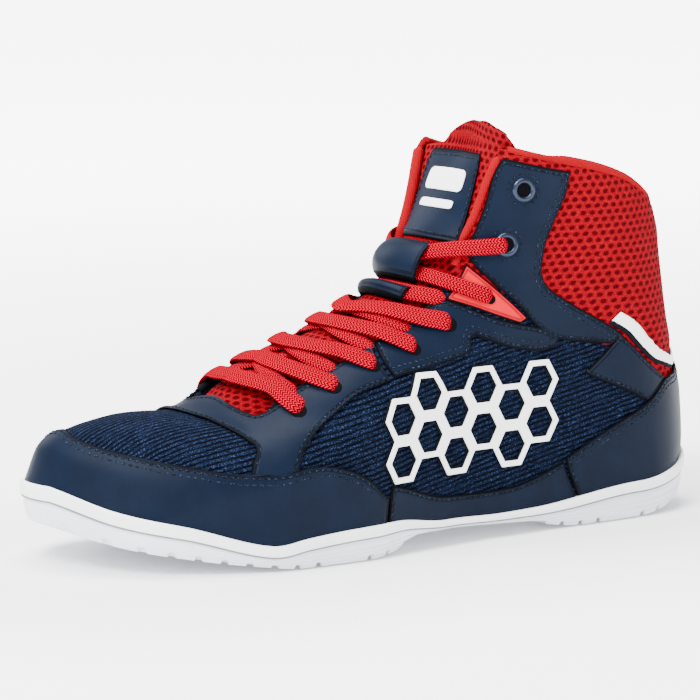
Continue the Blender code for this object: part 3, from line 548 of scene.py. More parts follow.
def air_mesh(name, colour, light, dark, pitch, rows, hole):
    """Open spacer mesh: rows of oval holes, each row set half a pitch along, with painted shade in
    the holes and round their rims.
    """
    paint = Paint(name, colour, 0.85, gloss=0.03)
    along, across = paint.uv()
    sway = paint.noise(7.0, 1.0)
    across = across + (sway - 0.5) * 0.5
    number = (across / rows).floor()
    shift = (number * 0.5).fraction()
    u = (along / pitch + shift).fraction() - 0.5
    v = (across / rows).fraction() - 0.5
    reach = ((u * pitch / hole) ** 2 + (v * rows / (hole * 0.62)) ** 2) ** 0.5
    lumps = paint.noise(1.6, 1.0)
    inside = (reach + (lumps - 0.5) * 0.5).step(0.62, 0.40)
    yarn = ((along * 1.15 + across * 1.15).wave() * (along * 1.15 - across * 1.15).wave())
    fleck = paint.noise(0.50, 2.0).step(0.45, 0.70)
    tone = paint.mix(fleck * 0.6, colour, light)
    # Painted shade: the mesh darkens round each hole, and the hole is filled with a dark colour.
    tone = paint.mix(reach.step(1.05, 0.45) * 0.45, tone, dark)
    paint.set("Base Color", paint.mix(inside, tone, tuple(value * 0.80 for value in dark)))
    paint.bump(reach.step(0.30, 0.95) + yarn * 0.10 + fleck * 0.10, 0.9)
    return paint.material


def braid(name, colour, light, dark, width):
    """Flat woven lace: two slanting sets of yarns that meet in a row of vees, with painted shade
    in the weave's hollows and painted highlights on its crests.
    """
    paint = Paint(name, colour, 0.78, gloss=0.0)
    along, across = paint.uv()
    strand = (across / (width / 8)).floor()
    side = (strand * 0.5).fraction() * 2
    tilt = (side * 2 - 0.5).math("SIGN")
    slant = along / 1.25 + across * tilt / 1.25
    ridge = slant.wave() * 0.5 + 0.5
    across_strand = ((across / (width / 8)).fraction() - 0.5).size() * 2
    height = ridge * (1 - across_strand ** 3 * 0.7)
    fleck = paint.noise(0.35, 2.0)
    # Painted shade on the low parts of the weave, painted highlights on its crests.
    tone = paint.mix(height.step(0.05, 0.62), dark, colour)
    tone = paint.mix(height.step(0.66, 1.0) * fleck.step(0.35, 0.65), tone, light)
    paint.set("Base Color", tone)
    paint.bump(height + fleck * 0.2, 0.34)
    return paint.material


def plain_weave(name, colour, size, roughness=0.85):
    """Close cloth with a fine weave."""
    paint = Paint(name, colour, roughness, gloss=0.04)
    x, y, z = paint.split(paint.place())
    weave = ((x + z) * (1000 / size)).wave() * ((y + z) * (1000 / size)).wave() * 0.5 + 0.5
    cloud = paint.noise(size * 0.5, 2.0)
    dark = tuple(value * 0.55 for value in colour)
    paint.set("Base Color", paint.mix(weave * 0.6 + cloud * 0.4, dark, colour))
    paint.bump(weave * 0.7 + cloud * 0.3, 0.20)
    return paint.material


def moulded_rubber(name, colour, shade):
    """Matt rubber, a little darker and bluer in soft random clouds, with a fine skin."""
    paint = Paint(name, colour, 0.50)
    cloud = paint.noise(26.0, 3.0)
    grain = paint.noise(0.8, 2.0)
    paint.set("Base Color", paint.mix(cloud.step(0.35, 0.75) * 0.5, colour, shade))
    paint.set("Roughness", grain * 0.14 + 0.42)
    paint.bump(grain, 0.05)
    return paint.material


def white_film(name, colour):
    """Smooth white film with a fine grain."""
    paint = Paint(name, colour, 0.38)
    grain = paint.noise(0.7, 2.0)
    paint.set("Roughness", grain * 0.14 + 0.32)
    paint.bump(grain, 0.05)
    return paint.material


def dark_metal(name, colour):
    paint = Paint(name, colour, 0.32, metallic=0.85)
    grain = paint.noise(1.2, 3.0)
    paint.set("Roughness", grain * 0.22 + 0.20)
    paint.bump(grain, 0.03)
    return paint.material


def spun_thread(name, colour, light):
    paint = Paint(name, colour, 0.70, gloss=0.08)
    twist_and_painted_highlight = paint.noise(0.4, 2.0)
    # Painted highlight: light specks over the dark thread.
    paint.set("Base Color", paint.mix(twist_and_painted_highlight.step(0.50, 0.72), colour, light))
    paint.bump(twist_and_painted_highlight, 0.06)
    return paint.material


NAVY = (0.0032, 0.0064, 0.0152)
RED = (0.185, 0.0002, 0.0048)
materials = {
    "leather": smooth_leather("Navy coated leather", NAVY, (0.0010, 0.0012, 0.0020), 0.44),
    "insert": smooth_leather("Red coated insert", (0.50, 0.0015, 0.012), (0.004, 0.001, 0.002),
                             0.44),
    # The knit's dark colour is painted shade along the sides of its rows, also used in the yarn's
    # pattern.
    "knit": ribbed_knit("Navy ribbed knit", (0.0024, 0.0058, 0.0185), (0.060, 0.094, 0.215),
                        (0.0004, 0.0008, 0.0028), 2.05),
    # The mesh's dark colour is painted shade in and round its holes.
    "mesh": air_mesh("Red air mesh", RED, (0.42, 0.0010, 0.010), (0.060, 0.0002, 0.002),
                     4.4, 2.7, 2.05),
    "lining": plain_weave("Dark lining", (0.008, 0.010, 0.020), 1.1),
    "red_lining": plain_weave("Red lining", (0.24, 0.001, 0.004), 1.3),
    "binding": plain_weave("Red binding", (0.30, 0.0004, 0.006), 1.0),
    "edging": plain_weave("Black edging", (0.006, 0.007, 0.010), 0.9),
    # The lace's light colour is painted highlight and its dark colour painted shade.
    "lace": braid("Red flat lace", (0.42, 0.0003, 0.014), (0.70, 0.003, 0.030),
                  (0.05, 0.0002, 0.002), LACE_WIDTH / MM),
    "rubber": moulded_rubber("White sole rubber", (0.93, 0.935, 0.95), (0.84, 0.85, 0.89)),
    # Painted shade: the outsole is a darker copy of the band's white rubber, for the shade on the
    # sole's lower side.
    "outsole": moulded_rubber("White outsole rubber with painted shade", (0.80, 0.815, 0.86), (0.70, 0.72, 0.78)),
    # The grey seam line is painted shade in the parting gap between band and outsole.
    "seam": moulded_rubber("Painted shade in sole parting", (0.16, 0.17, 0.19), (0.06, 0.06, 0.07)),
    "film": white_film("White film", (0.94, 0.945, 0.95)),
    "board": plain_weave("Insole cloth", (0.045, 0.048, 0.060), 1.4),
    "metal": dark_metal("Gunmetal", (0.020, 0.028, 0.048)),
    # The thread's light colour is painted highlight specks.
    "thread": spun_thread("Navy thread", (0.0008, 0.0014, 0.0036), (0.040, 0.064, 0.120)),
    # Dark discs in the holes are painted shade.
    "black": plain_weave("Painted hole shade", (0.002, 0.002, 0.003), 1.0),
}


# Meshes

def unit_grid(columns, rows):
    shape = bmesh.new()
    bmesh.ops.create_grid(shape, x_segments=columns, y_segments=rows, size=0.5)
    bmesh.ops.translate(shape, verts=shape.verts, vec=(0.5, 0.5, 0))
    return shape


def lay(shape, place, flat=None):
    """Moves each point of a unit grid to place(u, v) and writes its map flat(u, v)."""
    grid = np.array([vertex.co[:2] for vertex in shape.verts])
    if flat:
        mapped = np.stack(flat(grid[:, 0], grid[:, 1]), -1)
        layer = shape.loops.layers.uv.new("Flat")
        shape.verts.index_update()
        for face in shape.faces:
            for loop in face.loops:
                loop[layer].uv = mapped[loop.vert.index]
    for vertex, point in zip(shape.verts, place(grid[:, 0], grid[:, 1])):
        vertex.co = point
    bmesh.ops.remove_doubles(shape, verts=shape.verts, dist=WELD)


INSIDE = Vector((0.03, 0, 0.02))


def face_outwards(shape, inside=INSIDE):
    """Turns a sheet so that its faces look away from a point inside the shoe."""
    shape.normal_update()
    facing = sum(
        face.normal.dot(face.calc_center_median() - inside) * face.calc_area()
        for face in shape.faces
    )
    if facing < 0:
        bmesh.ops.reverse_faces(shape, faces=shape.faces)


def piece(name, shape, paints, nodes=(), sharp=60):
    mesh = bpy.data.meshes.new(name)
    shape.to_mesh(mesh)
    shape.free()
    for paint in [paints] if isinstance(paints, str) else paints:
        mesh.materials.append(materials[paint])
    mesh.shade_smooth()
    mesh.set_sharp_from_angle(angle=math.radians(sharp))
    item = bpy.data.objects.new(name, mesh)
    bpy.context.scene.collection.objects.link(item)
    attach(item, "root")
    if nodes:
        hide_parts(*([nodes] if isinstance(nodes, str) else nodes))
    return item


def thicken(item, thickness, offset, **settings):
    wall = item.modifiers.new("Wall", "SOLIDIFY")
    wall.thickness = thickness
    wall.offset = offset
    wall.use_quality_normals = True
    for setting, value in settings.items():
        setattr(wall, setting, value)


def round_edges(item, width, segments=2):
    bevel = item.modifiers.new("Edge", "BEVEL")
    bevel.width = width
    bevel.segments = segments
    bevel.limit_method = "ANGLE"
    bevel.angle_limit = math.radians(50)
    bevel.use_clamp_overlap = True


def eased(u):
    """Shares from 0 to 1, moved closer together near both ends."""
    return u + ((1 - np.cos(np.pi * u)) / 2 - u) * 0.8


# Seams

def mesh_bead(shape, centre, run, normal, length, width, height):
    """One stitch: a small rounded bead that lies along the seam."""
    side = np.cross(normal, run)
    turn = Matrix([run, side, normal]).transposed().to_4x4()
    place = Matrix.Translation(Vector(centre)) @ turn
    bmesh.ops.create_uvsphere(
        shape, u_segments=6, v_segments=4, radius=1.0,
        matrix=place @ Matrix.Diagonal((length / 2, width / 2, height / 2, 1)),
    )


def inset_path(rise, around, inset, side):
    """The path moved sideways on the surface by a distance: side is 1 or -1."""
    run = unit(np.gradient(on_surface(rise, around), axis=0))
    sideways = np.cross(surface_normal(rise, around), run) * side * inset
    by_rise = (on_surface(rise + STEP, around) - on_surface(rise - STEP, around)) / (2 * STEP)
    by_around = (on_surface(rise, around + STEP) - on_surface(rise, around - STEP)) / (2 * STEP)
    rr = (by_rise * by_rise).sum(-1)
    ra = (by_rise * by_around).sum(-1)
    aa = (by_around * by_around).sum(-1)
    wr, wa = (sideways * by_rise).sum(-1), (sideways * by_around).sum(-1)
    scale = np.maximum(rr * aa - ra * ra, 1e-14)
    return rise + (wr * aa - wa * ra) / scale, around + (wa * rr - wr * ra) / scale


def sew(name, paths, out, keep=None, pitch=STITCH_PITCH, length=STITCH_LENGTH):
    """Rows of stitches along paths of (rise, around), standing out from the surface."""
    shape = bmesh.new()
    for rise, around in paths:
        points = on_surface(rise, around)
        way = way_along(points)
        stops = np.arange(pitch / 2, way[-1] - pitch / 3, pitch)
        rises, arounds = np.interp(stops, way, rise), np.interp(stops, way, around)
        ahead = on_surface(np.interp(stops + MM, way, rise), np.interp(stops + MM, way, around))
        behind = on_surface(np.interp(stops - MM, way, rise), np.interp(stops - MM, way, around))
        runs = unit(ahead - behind)
        normals = surface_normal(rises, arounds)
        centres = on_surface(rises, arounds) + normals * out
        for i in range(len(stops)):
            if keep is None or keep(rises[i], arounds[i]):
                mesh_bead(shape, centres[i], runs[i], normals[i], length, 0.75 * MM, 0.55 * MM)
    return piece(name, shape, "thread")


# Panels

def edge_curves(table):
    index = [(i / (len(table) - 1), *row) for i, row in enumerate(table)]
    return [Curve(index, column) for column in (1, 2, 3, 4)]


def mirrored(table):
    inner = [(a, -b, c, -d) for a, b, c, d in reversed(table[1:])]
    return inner + list(table)


def across_heel(table):
    inner = [(a, 2 - b, c, 2 - d) for a, b, c, d in reversed(table[:-1])]
    return list(table) + inner


def other_side(table):
    return [(a, -b, c, -d) for a, b, c, d in table]


# Edges that show where a panel's low edge runs down behind the sole's band
ABOVE_SOLE = ("high", "start", "end")


class Panel:
    """A sheet on the surface between the two edges of a table."""

    def __init__(self, table):
        self.curves = edge_curves(table)

    def place(self, u, v):
        rise_a, around_a, rise_b, around_b = (curve(u) for curve in self.curves)
        return rise_a + (rise_b - rise_a) * v, around_a + (around_b - around_a) * v

    def edge(self, which, count=160):
        """Places along one of the four edges: low, high, start or end."""
        t = np.linspace(0, 1, count)
        u, v = {
            "low": (t, t * 0), "high": (t, t * 0 + 1),
            "start": (t * 0, t), "end": (t * 0 + 1, t),
        }[which]
        return self.place(u, v)

    def build(self, name, grid, paint, slot, nodes, thickness=PANEL_THICKNESS, base=0.1 * MM,
              rounding=0.8 * MM, free=("low",) + ABOVE_SOLE):
        """The panel, rounded down to the surface along its free edges."""
        points = np.concatenate([on_surface(*self.edge(which)) for which in free])
        tree = KDTree(len(points))
        for i, point in enumerate(points):
            tree.insert(point, i)
        tree.balance()
        shape = unit_grid(*grid)
        flat = np.array([vertex.co[:2] for vertex in shape.verts])
        rise, around = self.place(eased(flat[:, 0]), eased(flat[:, 1]))
        lying = on_surface(rise, around)
        edge = np.array([tree.find(point)[2] for point in lying])
        height = base + thickness * rounded_end(edge, rounding)
        placed = lying + surface_normal(rise, around) * height[:, None]
        layer = shape.verts.layers.float.new("edge")
        for vertex, point, distance in zip(shape.verts, placed, edge):
            vertex.co = point
            vertex[layer] = distance
        bmesh.ops.remove_doubles(shape, verts=shape.verts, dist=WELD)
        face_outwards(shape)
        item = piece(name, shape, paint, nodes)
        thicken(item, 0.6 * MM, -1)
        return item


def seam_rows(panel, seams, side=1):
    """Paths of stitches inside a panel's edges, from rows of (edge, insets, turn)."""
    return [
        inset_path(*panel.edge(which), inset, turn * side)
        for which, insets, turn in seams for inset in insets
    ]


SINGLE = (STITCH_INSET,)
DOUBLE = (STITCH_INSET, STITCH_INSET + STITCH_ROWS)


# Upper

THROAT_COLUMNS = 8
SIDE_COLUMNS = 90
LOW_ROWS = 26
HIGH_ROWS = 66
COLLAR_PUFF = 1.6 * MM
# How far the shell's rim turns in under the collar's binding
RIM_TUCK = 1.2 * MM
# The knit's ribs: turn of the vamp's map round the shoe's length, slope of the side's map
VAMP_TURN_RADIUS = 0.043
VAMP_TURN_HEIGHT = 0.012
SIDE_SLOPE = 0.20
VAMP_TOP = 0.33


def upper_places(columns, rows, u, v):
    half = THROAT_COLUMNS + SIDE_COLUMNS
    row = np.round(v * rows)
    low = THROAT_FRONT * row / LOW_ROWS
    high = THROAT_FRONT + (1 - THROAT_FRONT) * (row - LOW_ROWS) / HIGH_ROWS
    rise = np.where(row <= LOW_ROWS, low - 0.02 * (1 - row / LOW_ROWS), high)
    side = np.round(u * columns) - half
    steps = half - np.abs(side)
    edge = throat_half(rise)
    place = np.where(
        steps <= THROAT_COLUMNS,
        edge * steps / THROAT_COLUMNS,
        edge + (1 - edge) * (steps - THROAT_COLUMNS) / SIDE_COLUMNS,
    )
    return rise, np.where(side == 0, 1.0, np.copysign(place, side))


def collar_puff(rise, around):
    """How far the padded red collar swells between its seams."""
    size = np.abs(around)
    low = red_line(size) + 0.03
    puff = COLLAR_PUFF * ramp(rise, low, low + 0.14)
    return puff * ramp(rise, 1.0, 0.90) * ramp(size, 0.43, 0.52)


def build_upper():
    columns, rows = 2 * (THROAT_COLUMNS + SIDE_COLUMNS), LOW_ROWS + HIGH_ROWS
    shape = unit_grid(columns, rows)
    grid = np.array([vertex.co[:2] for vertex in shape.verts])
    rise, around = upper_places(columns, rows, grid[:, 0], grid[:, 1])
    rim = ramp(rise, 0.975, 1.0)
    points = skin(rise, around, collar_puff(rise, around) - RIM_TUCK * rim)
    girth = np.interp(np.abs(around), GIRTH_AT, GIRTH) * np.sign(around)
    turn = np.arctan2(points[:, 1], points[:, 2] - VAMP_TURN_HEIGHT)
    flats = [
        np.stack([points[:, 0], VAMP_TURN_RADIUS * turn], -1),
        np.stack([points[:, 0], points[:, 2] + SIDE_SLOPE * points[:, 0]], -1),
        np.stack([girth, points[:, 2]], -1),
    ]
    shape.verts.index_update()
    layer = shape.loops.layers.uv.new("Flat")
    gone = []
    for face in shape.faces:
        index = [vertex.index for vertex in face.verts]
        middle = grid[index].mean(axis=0)
        steps = min(middle[0], 1 - middle[0]) * columns
        if steps < THROAT_COLUMNS and middle[1] * rows > LOW_ROWS:
            gone.append(face)
            continue
        high, size = rise[index].mean(), np.abs(around[index]).mean()
        if high > red_line(size):
            face.material_index = 2
        elif high < VAMP_TOP and size < vamp_line(high):
            face.material_index = 0
        else:
            face.material_index = 1
        for loop in face.loops:
            loop[layer].uv = flats[face.material_index][loop.vert.index]
    padding = shape.verts.layers.float.new("padding")
    full = ramp(np.abs(around), 0.37, 0.45) * ramp(rise, 0.62, 0.80) * (1 - 0.3 * rim)
    for vertex, point, share in zip(shape.verts, points, full):
        vertex.co = point
        vertex[padding] = share
    bmesh.ops.delete(shape, geom=gone, context="FACES")
    bmesh.ops.remove_doubles(shape, verts=shape.verts, dist=WELD)
    face_outwards(shape)
    shares = [vertex[padding] for vertex in shape.verts]
    item = piece(
        "upper_shell", shape,
        ["knit", "knit", "mesh", "lining", "lining", "red_lining"], "upper",
    )
    group = item.vertex_groups.new(name="padding")
    for index, share in enumerate(shares):
        wall = WALL + (COLLAR_PADDING - WALL) * share
        group.add([index], wall / COLLAR_PADDING, "REPLACE")
    thicken(item, COLLAR_PADDING, -1, vertex_group="padding", material_offset=3,
            material_offset_rim=3)
    return item


def tube(name, path, radius, paint, flat=1.0, normals=None, sides=10):
    """A round or flattened cord along a path of points, with closed ends."""
    count = len(path)
    run = unit(np.gradient(path, axis=0))
    if normals is None:
        normals = np.tile([0.0, 0.0, 1.0], (count, 1))
    across = unit(np.cross(run, normals))
    up = unit(np.cross(across, run))
    way = way_along(path)
    shape = unit_grid(count - 1, sides)

    def place(u, v):
        i = nearest(u, count)
        angle = 2 * np.pi * v
        swell = np.broadcast_to(radius, (count,))[i]
        return (
            path[i]
            + across[i] * (np.cos(angle) * swell)[:, None]
            + up[i] * (np.sin(angle) * swell * flat)[:, None]
        )

    def mapped(u, v):
        i = nearest(u, count)
        return way[i], v * 2 * np.pi * float(np.max(radius))

    lay(shape, place, mapped)
    close_ends(shape)
    return piece(name, shape, paint)


def close_ends(shape):
    ends = [edge for edge in shape.edges if edge.is_boundary]
    bmesh.ops.holes_fill(shape, edges=ends, sides=0)
    bmesh.ops.recalc_face_normals(shape, faces=shape.faces)


def build_bindings():
    """Red binding that runs up both throat edges and round the collar's rim."""
    for side, word in SIDES:
        rise = np.linspace(0.655, 0.978, 60)
        around = side * (throat_half(rise) + 0.004)
        path = skin(rise, around, -0.9 * MM)
        radius = 1.75 * MM * (1 - 0.75 * ramp(rise, 0.962, 0.978) ** 2)
        tube(f"throat_binding_{word}", path, radius, "binding", flat=1.25,
             normals=surface_normal(rise, around))
    around = np.concatenate([np.linspace(0.254, 1.0, 90), np.linspace(-0.999, -0.254, 90)])
    full = ramp(np.abs(around), 0.37, 0.45)
    depth = WALL + (COLLAR_PADDING * 0.8 - WALL) * full
    rise = np.full(around.shape, 1.0)
    path = skin(rise, around, -RIM_TUCK - depth / 2)
    tube("collar_binding", path, depth / 2 + 0.55 * MM, "binding", flat=0.9, sides=12)
    for side, word in SIDES:
        rise = np.linspace(0.27, 0.570, 60)
        around = side * (throat_half(rise) + 0.002)
        path = skin(rise, around, -0.4 * side * MM)
        tube(f"throat_edging_{word}", path, (1.25 - 0.3 * side) * MM, "edging",
             normals=surface_normal(rise, around))


# Sole

def across(around, side_share, spread):
    outer, inner = sole_edge(around, spread), sole_edge(-around, spread)
    return inner + (outer - inner) * ((side_share + 1) / 2)[..., None]


def build_midsole():
    """Rounded white band. The section runs over its top, side, underside and side."""
    # side share, height share, bulge in millimetres
    half = [
        (0.35, 1.00, 0.0), (0.75, 1.00, 0.0), (0.93, 1.02, -0.2), (1.0, 1.06, -0.9),
        (1.0, 1.08, -0.45), (1.0, 1.02, 0.02), (1.0, 0.88, 0.32), (1.0, 0.66, 0.52),
        (1.0, 0.42, 0.58), (1.0, 0.20, 0.48), (1.0, 0.07, 0.25), (1.0, 0.00, -0.2),
        (0.97, -0.02, -0.4), (0.3, 0.0, 0.0),
    ]
    other = [(-side, height, bulge) for side, height, bulge in reversed(half)]
    section = np.array([(-0.35, 1.0, 0.0)] + half + other)
    rows, columns = len(section) - 1, 180
    shape = unit_grid(columns, rows)

    def place(u, v):
        side, height, bulge = section[np.round(v * rows).astype(int)].T
        share = 1 - eased(u)
        around = around_at(share)
        point = across(around, side, SOLE_LIP + bulge * MM)
        share = length_share(point[:, 0])
        top = feather_height(share) - 0.1 * MM
        bottom = split_height(share) + 0.12 * MM
        point[:, 2] = bottom + (top - bottom) * height
        return point

    lay(shape, place)
    bmesh.ops.recalc_face_normals(shape, faces=shape.faces)
    return piece("midsole_band", shape, "rubber", "midsole", sharp=70)


HEEL_TREAD = (0.0, 0.30)
FOREFOOT_TREAD = (0.555, 1.0)
FOREFOOT_PAD = 0.66


def lug_rows():
    """Rows of the outsole from heel to toe: share of length, and height of the lug."""
    half_pad = FLAT_PAD / 2 / SHOE_LENGTH
    pitch, groove = LUG_PITCH / SHOE_LENGTH, LUG_GROOVE / SHOE_LENGTH
    draft, land = LUG_DRAFT / SHOE_LENGTH, (LUG_PITCH - LUG_GROOVE) / SHOE_LENGTH
    rows = [(share, 0) for share in np.linspace(0.325, 0.535, 22)]
    rows += [(share, 1) for share in (0.0, 0.0008, 0.003, 0.007, 0.993, 0.997, 0.9992, 1.0)]
    for pad, tread in ((length_share(0.0), HEEL_TREAD), (FOREFOOT_PAD, FOREFOOT_TREAD)):
        lands = [(pad - half_pad, pad + half_pad)]
        start = pad + half_pad + groove
        while start + land / 2 < tread[1]:
            lands.append((start, min(start + land, tread[1])))
            start += pitch
        end = pad - half_pad - groove
        while end - land / 2 > tread[0]:
            lands.append((max(end - land, tread[0]), end))
            end -= pitch
        for start, end in lands:
            rows += [(share, 1) for share in np.linspace(start, end, 4)]
            if start > draft:
                rows += [(start - draft / 2, 0.6), (start - draft, 0)]
            if end < 1 - draft:
                rows += [(end + draft / 2, 0.6), (end + draft, 0)]
    kept = []
    for share, lug in sorted(rows):
        if not kept or share - kept[-1][0] >= 0.0006:
            kept.append((share, lug))
    kept[0], kept[-1] = (0.0, 1), (1.0, 1)
    return np.array(kept)


def build_outsole():
    """Ribbed plate. The section runs over its flat top, side, treaded sole and side."""
    # side share, height share, tuck in millimetres
    half = [
        (1.0, 1.00, 0.55), (1.0, 1.00, 0.05), (1.0, 0.93, -0.05), (1.0, 0.80, -0.12),
        (1.0, 0.66, -0.05), (1.0, 0.61, 0.22), (1.0, 0.57, 0.02), (1.0, 0.46, 0.16),
        (1.0, 0.41, 0.46), (1.0, 0.37, 0.28), (1.0, 0.25, 0.62), (1.0, 0.20, 0.95),
        (1.0, 0.16, 0.82), (1.0, 0.07, 1.30), (1.0, 0.015, 1.85), (1.0, 0.00, 2.45),
    ]
    sole = [(side, 0.0, 2.45) for side in np.linspace(0.94, -0.94, 33)]
    other = [(-side, height, tuck) for side, height, tuck in reversed(half)]
    top = [(-0.5, 1.0, 0.6), (0.5, 1.0, 0.6)]
    section = np.array(top + half + sole + other + top[:1])
    along = lug_rows()
    columns, rows = len(along) - 1, len(section) - 1
    shape = unit_grid(columns, rows)

    def place(u, v):
        share, lug = along[np.round(u * columns).astype(int)].T
        side, height, tuck = section[np.round(v * rows).astype(int)].T
        fade = np.clip(np.minimum(share, 1 - share) * 12, 0, 1)
        wave = 2 * np.abs((side * 2.5 + 0.25) % 1 - 0.5) * 2 - 1
        share = share + np.where(height == 0, wave * fade * LUG_ZIGZAG / SHOE_LENGTH, 0)
        spread_out = SOLE_LIP - OUTSOLE_STEP - tuck * MM
        point = across(around_at(share), side, spread_out)
        place_share = length_share(point[:, 0])
        bottom = clearance_share(place_share) * TOE_SPRING
        top = split_height(place_share) - 0.1 * MM
        depth = np.minimum(LUG_DEPTH, (top - bottom) / 2) * (1 - lug)
        bottom = bottom + depth * np.clip((0.30 - height) / 0.22, 0, 1)
        point[:, 2] = bottom + (top - bottom) * height
        return point

    lay(shape, place)
    bmesh.ops.recalc_face_normals(shape, faces=shape.faces)
    return piece("ribbed_outsole", shape, "outsole", "outsole", sharp=45)


def build_sole_seam():
    """Fine grey line of painted shade in the gap where the band parts from the outsole."""
    around = np.linspace(-1, 1, 500)
    point = sole_edge(around, SOLE_LIP - 0.30 * MM + 0 * around)
    point[:, 2] = split_height(length_share(point[:, 0])) + 0.03 * MM
    tube("sole_seam", point, 0.42 * MM, "seam", sides=6)


def build_insole():
    shape = unit_grid(120, 16)

    def place(u, v):
        point = across(around_at(1 - eased(u)), 2 * v - 1, -WALL - 0.5 * MM + 0 * u)
        edge = np.abs(2 * v - 1)
        point[:, 2] = feather_height(length_share(point[:, 0])) + 0.2 * MM
        point[:, 2] += 1.2 * MM * edge ** 4
        return point

    lay(shape, place)
    face_outwards(shape, Vector((0, 0, -1)))
    item = piece("insole_pad", shape, "board", "insole")
    thicken(item, INSOLE_THICKNESS, 1)
    round_edges(item, 0.8 * MM)


# Panels of the upper

# Name, table, grid, paint, slot, settings of the sheet, seams, height of the stitches
SIDE_PANELS = [
    ("eyestay", EYESTAY, (110, 26), "leather", "navy_smooth", {},
     [("high", DOUBLE, 1), ("low", SINGLE, -1), ("start", SINGLE, 1)], 1.02 * MM),
    ("insert", INSERT, (50, 14), "insert", "red_smooth", {"thickness": 0.5 * MM}, [], 0),
    ("collar_panel", COLLAR_PANEL, (130, 26), "leather", "navy_smooth", {},
     [("high", DOUBLE, -1), ("low", SINGLE, 1), ("start", SINGLE, -1)], 1.02 * MM),
    ("side_band", SIDE_BAND, (80, 14), "leather", "navy_smooth", {"free": ABOVE_SOLE},
     [("high", SINGLE, -1), ("start", SINGLE, -1)], 1.02 * MM),
    ("strap_panel", STRAP_PANEL, (40, 18), "leather", "navy_smooth", {"thickness": 0.6 * MM},
     [("high", SINGLE, -1), ("low", SINGLE, 1)], 0.72 * MM),
]


def build_panels():
    rand = Panel(mirrored(TOE_RAND))
    rand.build("toe_rand_cover", (220, 26), "leather", "navy_smooth", "toe_rand",
               free=ABOVE_SOLE, rounding=1.0 * MM, base=0.55 * MM)
    sew("toe_rand_stitches", seam_rows(rand, [("high", DOUBLE, -1)]), 1.50 * MM,
        keep=lambda rise, around: abs(around) < 0.42)
    saddle = Panel(mirrored(VAMP_SADDLE))
    saddle.build("vamp_saddle_cover", (240, 34), "leather", "navy_smooth", "vamp_saddle",
                 base=0.35 * MM)
    sew("vamp_saddle_stitches",
        seam_rows(saddle, [("high", SINGLE, 1), ("low", SINGLE, -1)]), 1.30 * MM,
        keep=lambda rise, around: rise > 0.160)
    for side, word in SIDES:
        for name, table, grid, paint, slot, settings, seams, out in SIDE_PANELS:
            panel = Panel(table if side > 0 else other_side(table))
            panel.build(f"{name}_{word}_cover", grid, paint, slot, f"{name}_{word}", **settings)
            if seams:
                sew(f"{name}_{word}_stitches", seam_rows(panel, seams, side), out)
    counter = Panel(across_heel(HEEL_COUNTER))
    counter.build("heel_counter_cover", (180, 30), "leather", "navy_smooth", "heel_counter",
                  free=ABOVE_SOLE, base=0.3 * MM)
    seams = [("high", DOUBLE, -1), ("start", SINGLE, -1), ("end", SINGLE, 1)]
    sew("heel_counter_stitches", seam_rows(counter, seams), 1.22 * MM)
    tape = Panel(across_heel(COLLAR_TAPE))
    tape.build("collar_tape_cover", (150, 8), "film", "white_smooth", "collar_tape",
               thickness=0.8 * MM, base=0.5 * MM, rounding=0.5 * MM)
    edging = Panel(across_heel(widened(COLLAR_TAPE, 0.011)))
    edging.build("collar_tape_edging", (150, 8), "edging", "navy_smooth", (),
                 thickness=0.5 * MM, base=0.2 * MM, rounding=0.4 * MM)


def widened(table, by):
    return [(a - by, b - by * 0.5, c + by, d + by * 0.5) for a, b, c, d in table]


def build_lattice(name, side, strut, out, thickness, paint, nodes=()):
    """Six-sided cells in the side view, laid on the surface."""
    shape = bmesh.new()
    half_row = CELL_RADIUS * math.sqrt(3) / 2
    turned = Matrix.Rotation(math.radians(30), 4, "Z")
    for column, (lowest, count) in enumerate(LATTICE_COLUMNS):
        for row in range(count):
            centre = (-1.5 * CELL_RADIUS * column, half_row * (lowest + 2 * row), 0)
            bmesh.ops.create_circle(
                shape, cap_ends=True, segments=6, radius=CELL_RADIUS,
                matrix=Matrix.Translation(centre) @ turned,
            )
    bmesh.ops.remove_doubles(shape, verts=shape.verts, dist=WELD)
    cells = shape.faces[:]
    bmesh.ops.inset_individual(shape, faces=cells, thickness=strut / 2, use_even_offset=True)
    bmesh.ops.delete(shape, geom=cells, context="FACES")
    outline = [edge for edge in shape.edges if edge.is_boundary]
    if strut > CELL_STRUT:
        border = outer_edges(outline)
        grown = bmesh.ops.extrude_edge_only(shape, edges=border)
        moved = [item for item in grown["geom"] if isinstance(item, bmesh.types.BMVert)]
        centre = sum((vertex.co for vertex in moved), Vector()) / len(moved)
        for vertex in moved:
            vertex.co += (vertex.co - centre).normalized() * (strut - CELL_STRUT) / 2
    bmesh.ops.subdivide_edges(shape, edges=shape.edges[:], cuts=3, use_grid_fill=True)
    flat = np.array([vertex.co[:2] for vertex in shape.verts])
    x = LATTICE_FRONT * SHOE_LENGTH - HEEL_TO_ORIGIN + flat[:, 0]
    share = length_share(x)
    rise = (LATTICE_BASE * UPPER_HEIGHT + flat[:, 1] - feather_height(share)) / collar_rise(share)
    toe = np.interp(rise, END_RISES, FRONT_ENDS)
    back = np.interp(rise, END_RISES, BACK_ENDS)
    around = np.arccos(2 * (x - back) / (toe - back) - 1) / np.pi
    for vertex, point in zip(shape.verts, skin(rise, side * around, out + 0 * rise)):
        vertex.co = point
    face_outwards(shape)
    item = piece(name, shape, paint, nodes)
    thicken(item, thickness, 1)
    round_edges(item, 0.22 * MM)
    return item


